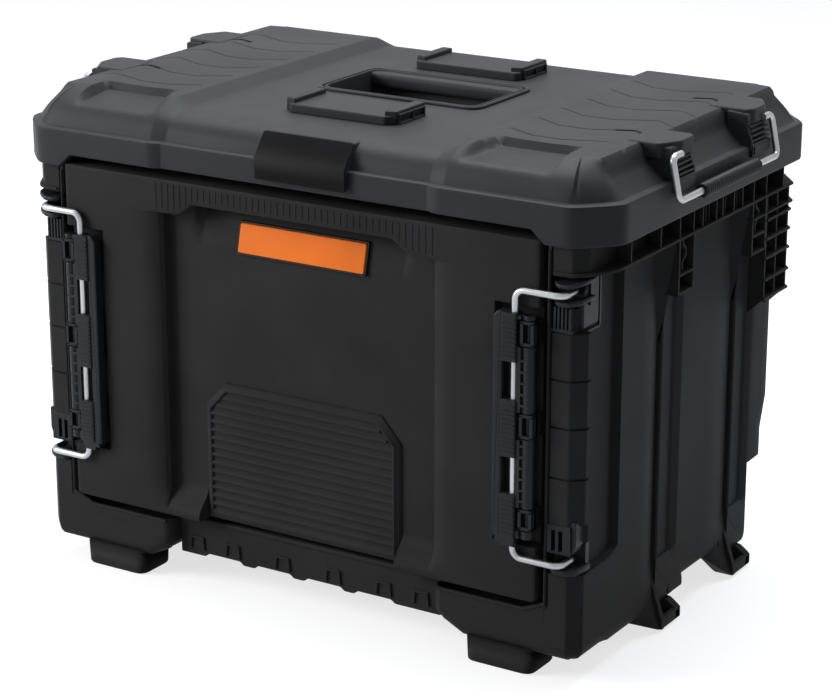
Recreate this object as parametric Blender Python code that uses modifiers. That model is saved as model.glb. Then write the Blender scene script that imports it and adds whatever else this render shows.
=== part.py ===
"""Stackable tool chest with a front door, two draw latches and two lid bails.

Metres, +Z up, front towards -Y, origin on the ground under the middle of the chest.
"""
import bmesh
import bpy
from math import cos, pi, sin
from mathutils import Matrix, Vector

# General clearances
GAP = 0.0003
RUN = 0.0006
OVERLAP = 0.002
MERGE = 0.00003

# Lid
RIM_WIDTH = 0.565
RIM_DEPTH = 0.386
RIM_HEIGHT = 0.0285
RIM_WALL = 0.0035
RIM_CHAMFER_FRONT = 0.029
RIM_CHAMFER_BACK = 0.035
RIM_LAP = 0.004
RIM_RAISE = 0.007
CROWN_RISE = 0.022
DECK_RISE = 0.007
DECK_INNER = 0.1445
DECK_SLOPE = 0.024
LID_SHELL = 0.0045
BAND_WIDTH = 0.0425
CROWN_INSET = 0.0125
CROWN_FOOT = 0.0065
CROWN_HIP = 0.011
CROWN_HIP_RISE = 0.011
CROWN_HIP_SIDE = 0.005
CROWN_SHOULDER = 0.024
CROWN_SHOULDER_RISE = 0.0185
CROWN_SHOULDER_SIDE = 0.009
CROWN_EDGE = 0.043
CROWN_EDGE_SIDE = 0.013
DECK_FOOT = 0.008
DECK_HIP = 0.011
DECK_HIP_BACK = 0.015
DECK_HIP_RISE = 0.0116
DECK_HIP_SIDE = 0.006
DECK_HIP_SLOPE = 0.0155
DECK_SHOULDER = 0.021
DECK_SHOULDER_BACK = 0.033
DECK_SHOULDER_RISE = 0.0232
DECK_SHOULDER_SIDE = 0.0115
DECK_SHOULDER_SLOPE = 0.006
DECK_EDGE = 0.035
DECK_EDGE_BACK = 0.053
DECK_EDGE_SIDE = 0.0155
RECESS_WIDTH = 0.150
RECESS_DEPTH = 0.085
RECESS_SHIFT = 0.010
RECESS_DROP = 0.026
TUB_WALL = 0.004
POCKET_FRONT_WIDTH = 0.088
POCKET_BACK_WIDTH = 0.070
POCKET_DROP = 0.008
POCKET_REACH = 0.056

# Body
RIM_OVERHANG = 0.0205
COLLAR_REACH = 0.014
COLLAR_CHAMFER = 0.024
FOOT_HEIGHT = 0.018
BASE_HEIGHT = 0.0445
BODY_WALL = 0.008
SIDE_STEP = 0.008
BODY_BACK_INSET = 0.008
CORNER_CLEAR_FRONT = 0.0035
CORNER_CLEAR_BACK = 0.0195
POST_WIDTH = 0.031
POST_SET = 0.006
POST_DEPTH = 0.016
FRAME_THICK = 0.006
FLOOR_THICK = 0.0045
FLANGE_WIDTH = 0.014
FLANGE_THICK = 0.006
FOOT_WIDTH = 0.051
FOOT_LENGTH = 0.040
FOOT_X = 0.1915
FOOT_TAPER = 0.003
FOOT_SET = 0.0007
BASE_BAY_HALF = 0.130
BASE_BAY_DEPTH = 0.014
BASE_BAY_RISE = 0.007
SKIRT = 0.006
VALLEY_DEPTH = 0.010
VALLEY_LENGTH = 0.049
STRIP_WIDTH = 0.0245
STRIP_FRONT_OFFSET = -0.054
STRIP_BACK_OFFSET = 0.0803
GROOVE_DEPTH = 0.0055
GROOVE_WIDTH = 0.0025
FLUTE_BEFORE = 0.024
FLUTE_AFTER = 0.012
FLUTE_STEP = 0.003
HOOK_REACH = 0.009
HOOK_LENGTH = 0.080
HOOK_LEAD = 0.047
HOOK_NOSE = 0.046
HOOK_STEP = 0.010
HOOK_CLEAR = 0.003
HOOK_LOW = 0.002
JAW_REACH = 0.007
JAW_LEAD = 0.013
JAW_TAIL = 0.034
JAW_THICK = 0.013
JAW_SLANT = 0.025
EDGE_RISE = 0.011
CORNER_LOW = 0.068
CORNER_MID = 0.043
LEDGE_RISE = 0.0295
BUMP_RISE = 0.025
BUMP_SLOPE = 0.028
FOOT_BACK_SET = 0.026
RIB = 0.0025
RIB_DROP = 0.0285
RIB_END = 0.006
POCKET_PITCH = 0.0165
POCKET_ROWS = 3
BACK_ROWS = 5

# Door
DOOR_GAP = 0.0013
DOOR_SILL_GAP = 0.0017
DOOR_HEIGHT = 0.2928
DOOR_SET = 0.002
DOOR_THICK = 0.028
DOOR_WALL = 0.004
BODY_OVER_DOOR = 0.005
FIELD_HALF = 0.139
FIELD_DROP = 0.015
FIELD_SLOPE = 0.0105
FIELD_RAMP = 0.024
FIELD_SILL = 0.004
LIP_HEIGHT = 0.0185
LIP_DEEP = 0.0285
LIP_HALF = 0.0955
LIP_FLARE = 0.0145
GRIP_HALF = 0.100
GRIP_HEIGHT = 0.035
GRIP_DROP = 0.008
PLATE_WIDTH = 0.118
PLATE_HEIGHT = 0.0205
PLATE_THICK = 0.003
PAD_HALF = 0.0955
PAD_HEIGHT = 0.122
PAD_CHAMFER = 0.0175
PAD_PROUD = 0.0035
DOORWAY_INSET = 0.027
DOOR_SEAL_THICK = 0.0024
DOOR_SEAL_WIDTH = 0.009

# Latches
WIRE_RADIUS = 0.0025
WIRE_BEND = 0.0085
WIRE_INBOARD = 0.0145
WIRE_SET = 0.0015
WIRE_OVER = 0.0195
WIRE_UNDER = 0.013
WIRE_TAIL = 0.004
LEVER_LENGTH = 0.181
LEVER_BELOW_MID = 0.003
LEVER_WIDTH = 0.0275
LEVER_FRONT = 0.007
LEVER_BACK = 0.0045
BARREL_RADIUS = 0.005
PIN_RADIUS = 0.002
PIVOT_FROM_EDGE = 0.0092
PIVOT_PROUD = 0.0025
WINDOW_HEIGHT = 0.029
WINDOW_WIDTH = 0.013
WINDOW_FROM_MID = 0.0385
EAR_HEIGHT = 0.012
EAR_PITCH = 0.075
EAR_RADIUS = 0.0045
LEVER_POCKET_DEPTH = 0.008
LEVER_POCKET_MARGIN = 0.003
LEVER_POCKET_END = 0.005
TIP_FROM_POST = 0.019
TIP_DEPTH = 0.006
FINGER_RADIUS = 0.009
FINGER_HEIGHT = 0.006
KEEPER_HALF = 0.012
KEEPER_BACK = 0.0115
KEEPER_PLATE = 0.005

# Bails and lid fittings
BAIL_RADIUS = 0.0025
BAIL_HALF = 0.089
BAIL_STUB = 0.015
BAIL_DROP = 0.0335
BAIL_LEAN = 0.007
BAIL_BEND = 0.006
BAIL_OUT = 0.0005
BAIL_RISE = 0.020
GRIP_LENGTH = 0.100
GRIP_RADIUS = 0.006
GRIP_RIBS = 12
GRIP_RIB_DEPTH = 0.0009
BOSS_INNER = 0.052
BOSS_CLEAR = 0.0022
BOSS_OUT = 0.005
BOSS_TOP = 0.006
BOSS_FOOT = 0.002
HOOD_LENGTH = 0.020
HOOD_BACK = 0.0045
CLEAT_WIDTH = 0.106
CLEAT_LENGTH = 0.050
CLEAT_THICK = 0.007
CLEAT_RIDGE = 0.004
CLEAT_RIDGE_WIDTH = 0.006
CLEAT_FRONT_OFFSET = -0.0965
CLEAT_BACK_OFFSET = 0.1035
BADGE_WIDTH = 0.088
BADGE_SHIFT = 0.0135
BADGE_BOTTOM = 0.0055
BADGE_FACE = 0.0215
BADGE_SLOPE = 0.010
BADGE_DEPTH = 0.012
BADGE_PROUD = 0.002
SEAL_HEIGHT = 0.005
SEAL_WIDTH = 0.007
SCREW_RADIUS = 0.002
SCREW_HEAD_RADIUS = 0.004
SCREW_HEAD = 0.003
SCREW_LENGTH = 0.022
SCREW_INSET = 0.0075
SCREW_MARGIN = 0.001
SCREW_BOSS_RADIUS = 0.0045

# Depth stations, front to back
LEVER_PROUD = LEVER_FRONT + PIVOT_PROUD - DOOR_SET
FRONT = LEVER_PROUD - (RIM_DEPTH + LEVER_PROUD) / 2
BACK = FRONT + RIM_DEPTH
MID = (FRONT + BACK) / 2
POST_FRONT = FRONT + POST_SET
BODY_BACK = BACK - BODY_BACK_INSET
DOOR_FRONT = FRONT + DOOR_SET
DOOR_BACK = DOOR_FRONT + DOOR_THICK
FIELD_FRONT = DOOR_FRONT + FIELD_DROP
FRAME_FACE = DOOR_BACK + DOOR_SEAL_THICK + 2 * GAP
FRAME_BACK = FRAME_FACE + FRAME_THICK
PIVOT_Y = DOOR_FRONT - PIVOT_PROUD
WIRE_Y = PIVOT_Y - WIRE_SET
TIP_Y = POST_FRONT + TIP_DEPTH

# Corner chamfers of the body, which keep it clear of the rim's chamfered wall
BODY_CHAMFER_FRONT = RIM_CHAMFER_FRONT + 2 * RIM_WALL - RIM_OVERHANG - POST_SET + CORNER_CLEAR_FRONT
BODY_CHAMFER_BACK = RIM_CHAMFER_BACK + 2 * RIM_WALL - RIM_OVERHANG - BODY_BACK_INSET + CORNER_CLEAR_BACK

# Step in the cavity's side walls behind the posts, and the pitch of the screws that clear it
STEP_Y = POST_FRONT + POST_DEPTH + VALLEY_LENGTH + BODY_WALL
SCREW_PITCH = MID - STEP_Y - SCREW_HEAD_RADIUS - SCREW_MARGIN

# Width stations, centre to right
RIM_X = RIM_WIDTH / 2
BODY_X = RIM_X - RIM_OVERHANG
COLLAR_X = BODY_X + COLLAR_REACH
POST_X = BODY_X - POST_WIDTH
DOOR_X = POST_X - DOOR_GAP
CAVITY_X = BODY_X - BODY_WALL
FLANGE_X = CAVITY_X - FLANGE_WIDTH
PIVOT_X = DOOR_X - PIVOT_FROM_EDGE
WIRE_X = PIVOT_X - WIRE_INBOARD
LEVER_X = PIVOT_X - LEVER_WIDTH
TIP_X = POST_X + TIP_FROM_POST
SCREW_X = CAVITY_X - SCREW_INSET
BAIL_X = RIM_X + BAIL_OUT
GRIP_X = BAIL_X + BAIL_LEAN
DOORWAY_X = DOOR_X - DOORWAY_INSET

# Height stations, ground up
BASE_TOP = FOOT_HEIGHT + BASE_HEIGHT
FLOOR_UNDER = BASE_TOP - FLOOR_THICK
DOOR_BOTTOM = BASE_TOP + DOOR_SILL_GAP
DOOR_TOP = DOOR_BOTTOM + DOOR_HEIGHT
DOOR_MID = (DOOR_BOTTOM + DOOR_TOP) / 2
BODY_TOP = DOOR_TOP + BODY_OVER_DOOR
FLANGE_UNDER = BODY_TOP - FLANGE_THICK
BAND_UNDER = BODY_TOP + SEAL_HEIGHT + 2 * GAP
RIM_BOTTOM = BODY_TOP - RIM_LAP
RIM_TOP = RIM_BOTTOM + RIM_HEIGHT
CROWN_TOP = RIM_TOP + CROWN_RISE
DECK_TOP = CROWN_TOP + DECK_RISE
LEVER_MID = DOOR_MID - LEVER_BELOW_MID
LEVER_TOP = LEVER_MID + LEVER_LENGTH / 2
LEVER_BOTTOM = LEVER_MID - LEVER_LENGTH / 2
WIRE_TOP = LEVER_TOP + WIRE_OVER
WIRE_BOTTOM = LEVER_BOTTOM - WIRE_UNDER
RIB_Z = BODY_TOP - RIB_DROP
LEDGE_Z = BASE_TOP + LEDGE_RISE
BUMP_Z = LEDGE_Z + BUMP_RISE
BAIL_Z = RIM_TOP + BAIL_RISE
GRIP_Z = BAIL_Z - BAIL_DROP

SIDES = (("left", -1), ("right", 1))
STRIP_STARTS = (MID + STRIP_FRONT_OFFSET, MID + STRIP_BACK_OFFSET)
ROUND_STEPS = 16


# Scene set-up

for old in list(bpy.data.objects):
    bpy.data.objects.remove(old, do_unlink=True)


def new_collection(name):
    group = bpy.data.collections.new(name)
    bpy.context.scene.collection.children.link(group)
    return group


PARTS = new_collection("tool_chest")
CUTTERS = new_collection("tool_chest_cutters")


def new_material(name, colour, roughness, metallic=0.0):
    material = bpy.data.materials.new(name)
    material.use_nodes = True
    shader = material.node_tree.nodes["Principled BSDF"]
    shader.inputs["Base Color"].default_value = (*colour, 1.0)
    shader.inputs["Roughness"].default_value = roughness
    shader.inputs["Metallic"].default_value = metallic
    return material


SHELL_BLACK = new_material("shell_black", (0.026, 0.027, 0.029), 0.55)
LATCH_BLACK = new_material("latch_black", (0.020, 0.021, 0.022), 0.50)
ORANGE = new_material("orange", (0.90, 0.22, 0.03), 0.45)
BADGE_BLACK = new_material("badge_black", (0.014, 0.014, 0.016), 0.35)
WIRE_STEEL = new_material("wire_steel", (0.60, 0.60, 0.61), 0.30, 1.0)
SEAL_RUBBER = new_material("seal_rubber", (0.015, 0.015, 0.015), 0.85)
SCREW_STEEL = new_material("screw_steel", (0.35, 0.35, 0.36), 0.35, 1.0)


# Solid-making helpers

def link_mesh(name, bm):
    bmesh.ops.recalc_face_normals(bm, faces=bm.faces)
    mesh = bpy.data.meshes.new(name)
    bm.to_mesh(mesh)
    bm.free()
    piece = bpy.data.objects.new(name, mesh)
    CUTTERS.objects.link(piece)
    piece.display_type = "WIRE"
    piece.hide_render = True
    return piece


def boxes(name, spans):
    """One mesh holding a box for each (x0, x1, y0, y1, z0, z1)."""
    bm = bmesh.new()
    for x0, x1, y0, y1, z0, z1 in spans:
        middle = Vector((x0 + x1, y0 + y1, z0 + z1)) / 2
        size = Matrix.Diagonal((abs(x1 - x0), y1 - y0, z1 - z0, 1.0))
        bmesh.ops.create_cube(bm, size=1.0, matrix=Matrix.Translation(middle) @ size)
    return link_mesh(name, bm)


AXIS_TURNS = {
    "X": Matrix(((0, 0, 1, 0), (1, 0, 0, 0), (0, 1, 0, 0), (0, 0, 0, 1))),
    "Y": Matrix(((1, 0, 0, 0), (0, 0, -1, 0), (0, 1, 0, 0), (0, 0, 0, 1))),
    "Z": Matrix.Identity(4),
}


def prism(name, outline, axis, low, high):
    """A flat outline, in the two axes square to the given one, drawn out from low to high."""
    curve = bpy.data.curves.new(name, "CURVE")
    curve.dimensions = "2D"
    curve.fill_mode = "BOTH"
    curve.extrude = (high - low) / 2
    spline = curve.splines.new("POLY")
    spline.points.add(len(outline) - 1)
    for point, (u, v) in zip(spline.points, outline):
        point.co = (u, v, 0.0, 1.0)
    spline.use_cyclic_u = True
    drawn = bpy.data.objects.new(name, curve)
    CUTTERS.objects.link(drawn)
    mesh = bpy.data.meshes.new_from_object(drawn.evaluated_get(bpy.context.evaluated_depsgraph_get()))
    bpy.data.objects.remove(drawn)
    middle = (high + low) / 2 * (-1 if axis == "Y" else 1)
    mesh.transform(AXIS_TURNS[axis] @ Matrix.Translation((0, 0, middle)))
    bm = bmesh.new()
    bm.from_mesh(mesh)
    bmesh.ops.remove_doubles(bm, verts=bm.verts, dist=MERGE)
    return link_mesh(name, bm)


def loft(name, levels):
    """Closed skin through (z, outline) levels whose outlines have the same count of points."""
    bm = bmesh.new()
    rings = [[bm.verts.new((x, y, z)) for x, y in outline] for z, outline in levels]
    count = len(rings[0])
    for lower, upper in zip(rings, rings[1:]):
        for i in range(count):
            j = (i + 1) % count
            bm.faces.new((lower[i], lower[j], upper[j], upper[i]))
    bm.faces.new(rings[0])
    bm.faces.new(rings[-1])
    return link_mesh(name, bm)


def rectangle(x0, x1, y0, y1, front=0.0, back=0.0):
    """Plan outline with its front and back corners chamfered."""
    if not front and not back:
        return [(x0, y0), (x1, y0), (x1, y1), (x0, y1)]
    return [(x0 + front, y0), (x1 - front, y0), (x1, y0 + front), (x1, y1 - back),
            (x1 - back, y1), (x0 + back, y1), (x0, y1 - back), (x0, y0 + front)]


def rods(name, spots, radius, axis, low, high):
    """One mesh holding a cylinder along the axis at each spot in the plane square to it."""
    bm = bmesh.new()
    middle = (high + low) / 2 * (-1 if axis == "Y" else 1)
    for u, v in spots:
        place = AXIS_TURNS[axis] @ Matrix.Translation((u, v, middle))
        bmesh.ops.create_cone(bm, cap_ends=True, segments=ROUND_STEPS, radius1=radius, radius2=radius,
                              depth=high - low, matrix=place)
    return link_mesh(name, bm)


def combine(piece, operation, others):
    for other in others:
        modifier = piece.modifiers.new(other.name, "BOOLEAN")
        modifier.operation = operation
        modifier.solver = "EXACT"
        modifier.use_self = True
        modifier.object = other
    return piece


def join(piece, *others):
    return combine(piece, "UNION", others)


def cut(piece, *others):
    return combine(piece, "DIFFERENCE", others)


def finish(piece, name, material, axis=None):
    """Turn a blank into a named part, carried by its axis if it moves."""
    piece.name = name
    piece.data.materials.append(material)
    for group in list(piece.users_collection):
        group.objects.unlink(piece)
    PARTS.objects.link(piece)
    piece.display_type = "TEXTURED"
    piece.hide_render = False
    if axis:
        piece.parent = axis
        piece.matrix_parent_inverse = Matrix.Translation(axis.location).inverted()
    return piece


def new_axis(name, place, carrier=None):
    axis = bpy.data.objects.new(name, None)
    axis.location = place
    PARTS.objects.link(axis)
    if carrier:
        axis.parent = carrier
        axis.matrix_parent_inverse = Matrix.Translation(carrier.location).inverted()
    return axis


def rounded(points, radius, steps=4):
    """The path through the points with every inner corner turned on an arc."""
    path = [Vector(points[0])]
    for before, corner, after in zip(points, points[1:], points[2:]):
        corner = Vector(corner)
        into = (corner - Vector(before)).normalized()
        out = (Vector(after) - corner).normalized()
        turn = into.angle(out)
        reach = radius * sin(turn / 2) / cos(turn / 2)
        centre = corner - into * reach + (out - into * into.dot(out)).normalized() * radius
        inward = (corner - into * reach - centre)
        for step in range(steps + 1):
            angle = turn * step / steps
            path.append(centre + inward * cos(angle) + into * radius * sin(angle))
    path.append(Vector(points[-1]))
    return path


def wire(name, path, radius):
    curve = bpy.data.curves.new(name, "CURVE")
    curve.dimensions = "3D"
    curve.bevel_depth = radius
    curve.bevel_resolution = 2
    curve.use_fill_caps = True
    spline = curve.splines.new("POLY")
    spline.points.add(len(path) - 1)
    for point, place in zip(spline.points, path):
        point.co = (*place, 1.0)
    piece = bpy.data.objects.new(name, curve)
    CUTTERS.objects.link(piece)
    return piece


def turned(name, profile, steps=ROUND_STEPS):
    """A profile of (radius, height), outer side from top to bottom, spun about Z."""
    bm = bmesh.new()
    verts = [bm.verts.new((radius, 0.0, height)) for radius, height in profile]
    for first, second in zip(verts, verts[1:]):
        bm.edges.new((first, second))
    piece = link_mesh(name, bm)
    spin = piece.modifiers.new("spin", "SCREW")
    spin.steps = steps
    spin.render_steps = steps
    spin.use_merge_vertices = True
    spin.merge_threshold = MERGE
    return piece


# Joint axes

door_axis = new_axis("door_axis", (-TIP_X, TIP_Y, DOOR_MID))
lever_axes = {side: new_axis(f"{side}_lever_axis", (sign * PIVOT_X, PIVOT_Y, LEVER_MID), door_axis)
              for side, sign in SIDES}
wire_axes = {side: new_axis(f"{side}_wire_axis", (sign * WIRE_X, WIRE_Y, LEVER_MID), lever_axes[side])
             for side, sign in SIDES}
bail_axes = {side: new_axis(f"{side}_bail_axis", (sign * BAIL_X, MID, BAIL_Z)) for side, sign in SIDES}

SCREW_SPOTS = [(sign * SCREW_X, MID + row * SCREW_PITCH) for _, sign in SIDES for row in (-1, 0, 1)]
FAR = RIM_WIDTH


# Body shell

def body_blank():
    plan = rectangle(-BODY_X, BODY_X, POST_FRONT, BODY_BACK, BODY_CHAMFER_FRONT, BODY_CHAMFER_BACK)
    return prism("body_blank", plan, "Z", FOOT_HEIGHT, BODY_TOP)


def collar_ribs():
    """Rib round the collar, a second one at the back, and the pocket ribs below them."""
    reach_back = BODY_BACK + BODY_BACK_INSET / 2
    upper = rectangle(-COLLAR_X, COLLAR_X, POST_FRONT - OVERLAP, reach_back,
                      COLLAR_CHAMFER, RIM_CHAMFER_BACK)
    end = POST_X + RIB_END
    upper[1:1] = [(-end, POST_FRONT - OVERLAP), (-end, POST_FRONT + OVERLAP), (end, POST_FRONT + OVERLAP),
                  (end, POST_FRONT - OVERLAP)]
    second = rectangle(-COLLAR_X, COLLAR_X, MID + STRIP_BACK_OFFSET, reach_back, RIB, RIM_CHAMFER_BACK)
    return (prism("collar_rib", upper, "Z", RIB_Z - RIB, RIB_Z),
            prism("second_rib", second, "Z", RIB_Z - POCKET_PITCH - RIB, RIB_Z - POCKET_PITCH))


def pocket_ribs():
    """Pocket columns under the collar, over each side strip."""
    spans = []
    outer = COLLAR_X - OVERLAP
    for _, sign in SIDES:
        x0, x1 = sorted((sign * (BODY_X - OVERLAP), sign * outer))
        for y0 in STRIP_STARTS:
            y1 = y0 + STRIP_WIDTH
            low = RIB_Z - POCKET_ROWS * POCKET_PITCH
            for y in (y0, y1 - RIB):
                spans.append((x0, x1, y, y + RIB, low, RIB_Z))
            for row in range(1, POCKET_ROWS + 1):
                z = RIB_Z - row * POCKET_PITCH
                spans.append((x0, x1, y0, y1, z, z + RIB))
    return boxes("pocket_ribs", spans)


def back_ribs():
    """Ladder of ribs on the two back corners."""
    spans = []
    outer = BODY_X - BODY_CHAMFER_BACK - SKIRT
    for _, sign in SIDES:
        x0, x1 = sorted((sign * (outer - POCKET_PITCH), sign * outer))
        low = RIB_Z - BACK_ROWS * POCKET_PITCH
        for x in (x0, x1 - RIB):
            spans.append((x, x + RIB, BODY_BACK - OVERLAP, BACK - OVERLAP, low, RIB_Z))
        for row in range(1, BACK_ROWS + 1):
            z = RIB_Z - row * POCKET_PITCH
            spans.append((x0, x1, BODY_BACK - OVERLAP, BACK - OVERLAP, z, z + RIB))
    return boxes("back_ribs", spans)


def foot(x, y):
    top = rectangle(x - FOOT_WIDTH / 2 - FOOT_TAPER, x + FOOT_WIDTH / 2 + FOOT_TAPER,
                    y - FOOT_LENGTH / 2, y + FOOT_LENGTH / 2 + FOOT_TAPER)
    sole = rectangle(x - FOOT_WIDTH / 2, x + FOOT_WIDTH / 2, y - FOOT_LENGTH / 2, y + FOOT_LENGTH / 2)
    return loft("foot", [(0.0, sole), (FOOT_HEIGHT + OVERLAP, top)])


def hook(sign, start):
    """Hook below a side strip that holds the unit below."""
    y0 = start - HOOK_LEAD
    y1 = y0 + HOOK_LENGTH
    step = HOOK_STEP
    root = FOOT_HEIGHT + HOOK_CLEAR
    outline = [(y0, root), (y0 + HOOK_NOSE, HOOK_LOW), (y1, HOOK_LOW), (y1, HOOK_LOW + step),
               (y1 - step, HOOK_LOW + step), (y1 - 2 * step, FOOT_HEIGHT / 2), (y1 - 2.5 * step, root),
               (y1 - 2.5 * step, root + HOOK_CLEAR)]
    x0, x1 = sorted((sign * (BODY_X - SKIRT + OVERLAP), sign * (BODY_X + HOOK_REACH)))
    return prism("hook", outline, "X", x0, x1)


def jaw(sign, start):
    """Slanted foot of a side strip, above the hook."""
    y0 = start - JAW_LEAD
    y1 = start + JAW_TAIL
    low = FOOT_HEIGHT + EDGE_RISE
    outline = [(y0, BASE_TOP - HOOK_CLEAR), (y1 - JAW_THICK, low), (y1, low), (y1, low + JAW_THICK),
               (y1 - JAW_SLANT, BASE_TOP + HOOK_STEP)]
    x0, x1 = sorted((sign * (BODY_X - GROOVE_DEPTH - OVERLAP / 2), sign * (BODY_X + JAW_REACH)))
    return prism("jaw", outline, "X", x0, x1)


def corner_cut(sign, levels):
    """Wedge taken off a back corner: a chamfer at each level, from below upwards."""
    far_x, far_y = BODY_X + OVERLAP, BODY_BACK + OVERLAP
    rings = []
    for z, size in levels:
        wedge = [(BODY_X, BODY_BACK - size), (far_x, BODY_BACK - size), (far_x, far_y), (BODY_X - size, far_y),
                 (BODY_X - size, BODY_BACK)]
        rings.append((z, [(sign * x, y) for x, y in wedge]))
    return loft("corner_cut", rings)


def body_cuts():
    top = BODY_TOP + OVERLAP
    narrow = CAVITY_X - SIDE_STEP

    def cavity(chamfer):
        inner = rectangle(-CAVITY_X, CAVITY_X, FRAME_BACK, BODY_BACK - BODY_WALL, 0.0, chamfer)
        return [(-narrow, FRAME_BACK), (narrow, FRAME_BACK), (narrow, STEP_Y), (CAVITY_X, STEP_Y),
                *inner[3:7], (-CAVITY_X, STEP_Y), (-narrow, STEP_Y)]

    step_z = LEDGE_Z + BODY_WALL
    opening = (-FLANGE_X, FLANGE_X, FRAME_BACK + FLANGE_WIDTH, BODY_BACK - BODY_WALL - FLANGE_WIDTH,
               FLANGE_UNDER - OVERLAP, top)
    bay = (-POST_X, POST_X, POST_FRONT - FAR, FRAME_FACE, BASE_TOP, top)
    doorway = (-DOORWAY_X, DOORWAY_X, FRAME_FACE - OVERLAP, FRAME_BACK + OVERLAP,
               DOOR_BOTTOM + DOORWAY_INSET, DOOR_TOP - DOORWAY_INSET)
    base_bay = (-BASE_BAY_HALF, BASE_BAY_HALF, POST_FRONT - FAR, POST_FRONT + BASE_BAY_DEPTH,
                FOOT_HEIGHT - OVERLAP, BASE_TOP + OVERLAP)
    bay_back = POST_FRONT + BASE_BAY_DEPTH + SKIRT
    base_edge = (-BASE_BAY_HALF, BASE_BAY_HALF, POST_FRONT - FAR, bay_back + OVERLAP,
                 FOOT_HEIGHT - OVERLAP, FOOT_HEIGHT + BASE_BAY_RISE)
    feet_x = FOOT_X - FOOT_WIDTH / 2 - FOOT_TAPER - SKIRT
    feet_back_x = feet_x - FOOT_BACK_SET
    foot_bay = FOOT_SET + FOOT_LENGTH + FOOT_TAPER + SKIRT
    under = FOOT_HEIGHT - OVERLAP
    under_front = (-feet_x, feet_x, bay_back, POST_FRONT + foot_bay + OVERLAP, under, FLOOR_UNDER)
    under_back = (-feet_back_x, feet_back_x, BODY_BACK - foot_bay - OVERLAP, BODY_BACK - SKIRT, under, FLOOR_UNDER)
    side_x, side_back, side_cut = BODY_X - SKIRT, BODY_BACK - foot_bay, CORNER_LOW - foot_bay + SKIRT / 2
    under_sides = [(-side_x, POST_FRONT + foot_bay), (side_x, POST_FRONT + foot_bay), (side_x, side_back - side_cut),
                   (side_x - side_cut, side_back), (side_cut - side_x, side_back), (-side_x, side_back - side_cut)]
    return (prism("low_cavity", cavity(CORNER_LOW), "Z", BASE_TOP, step_z + OVERLAP),
            prism("cavity", cavity(BODY_CHAMFER_BACK), "Z", step_z, FLANGE_UNDER),
            boxes("top_opening", [opening]), boxes("door_bay", [bay]), boxes("doorway", [doorway]),
            boxes("base_bay", [base_bay]), boxes("base_edge", [base_edge]),
            boxes("under_front", [under_front]), boxes("under_back", [under_back]),
            prism("under_sides", under_sides, "Z", under, FLOOR_UNDER))


def corner_cuts():
    """Back corners: cut far in below the ledge, a little above it, then sloping out to the plain corner."""
    low = [(FOOT_HEIGHT - OVERLAP, CORNER_LOW), (LEDGE_Z, CORNER_LOW)]
    bump = [(LEDGE_Z - OVERLAP, CORNER_MID), (BUMP_Z, CORNER_MID), (BUMP_Z + BUMP_SLOPE, BODY_CHAMFER_BACK - OVERLAP / 2)]
    return [corner_cut(sign, levels) for _, sign in SIDES for levels in (low, bump)]


def flutes():
    """Wall drawn in before and after each side strip, with a narrow groove along the strip."""
    cuts = []
    deep, far = BODY_X - GROOVE_DEPTH, BODY_X + OVERLAP
    for _, sign in SIDES:
        for y0 in STRIP_STARTS:
            y1 = y0 + STRIP_WIDTH
            before = [(BODY_X, y0 - FLUTE_BEFORE), (deep, y0 - GROOVE_WIDTH), (deep, y0), (far, y0),
                      (far, y0 - FLUTE_BEFORE)]
            after = [(deep, y1), (deep, y1 + GROOVE_WIDTH), (BODY_X - FLUTE_STEP, y1 + GROOVE_WIDTH),
                     (BODY_X, y1 + FLUTE_AFTER), (far, y1 + FLUTE_AFTER), (far, y1)]
            for outline in (before, after):
                cuts.append(prism("flute", [(sign * x, y) for x, y in outline], "Z", BASE_TOP, RIB_Z - RIB - GAP))
    return cuts


def side_cuts():
    """Valley behind each post, the raised bottom edge between the hooks and the keeper seats."""
    valley_y = POST_FRONT + POST_DEPTH
    spans = []
    for _, sign in SIDES:
        x0, x1 = sorted((sign * (BODY_X - VALLEY_DEPTH), sign * FAR))
        spans.append((x0, x1, valley_y, valley_y + VALLEY_LENGTH,
                      WIRE_BOTTOM - KEEPER_HALF, RIB_Z - 2 * RIB))
        x0, x1 = sorted((sign * (BODY_X - SKIRT - OVERLAP), sign * (BODY_X + OVERLAP)))
        spans.append((x0, x1, STRIP_STARTS[0] - HOOK_LEAD + HOOK_LENGTH + HOOK_CLEAR, STRIP_STARTS[1] - HOOK_LEAD,
                      FOOT_HEIGHT - OVERLAP, FOOT_HEIGHT + EDGE_RISE))
    seats = []
    for _, sign in SIDES:
        x0, x1 = sorted((sign * (POST_X - OVERLAP), sign * FAR))
        for height in (WIRE_BOTTOM, WIRE_TOP):
            seats.append((x0, x1, POST_FRONT - FAR, TIP_Y + KEEPER_BACK + KEEPER_PLATE + GAP,
                          height - KEEPER_HALF, height + KEEPER_HALF))
    return boxes("side_valleys", spans), boxes("keeper_seats", seats)


def body_shell():
    feet_y = (POST_FRONT + FOOT_LENGTH / 2 + FOOT_SET, BODY_BACK - FOOT_LENGTH / 2 - FOOT_TAPER - FOOT_SET)
    feet = [foot(sign * x, y) for _, sign in SIDES for x, y in zip((FOOT_X, FOOT_X - FOOT_BACK_SET), feet_y)]
    hooks = [hook(sign, start) for _, sign in SIDES for start in STRIP_STARTS]
    jaws = [jaw(sign, start) for _, sign in SIDES for start in STRIP_STARTS]
    piece = cut(body_blank(), *corner_cuts())
    join(piece, *collar_ribs(), *feet, *hooks)
    cut(piece, *body_cuts(), *side_cuts(), *flutes())
    join(piece, *jaws, pocket_ribs(), back_ribs())
    holes = rods("flange_holes", SCREW_SPOTS, SCREW_RADIUS + GAP, "Z", FLANGE_UNDER - OVERLAP,
                 BODY_TOP + OVERLAP)
    return finish(cut(piece, holes), "body_shell", SHELL_BLACK)


# Lid

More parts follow.
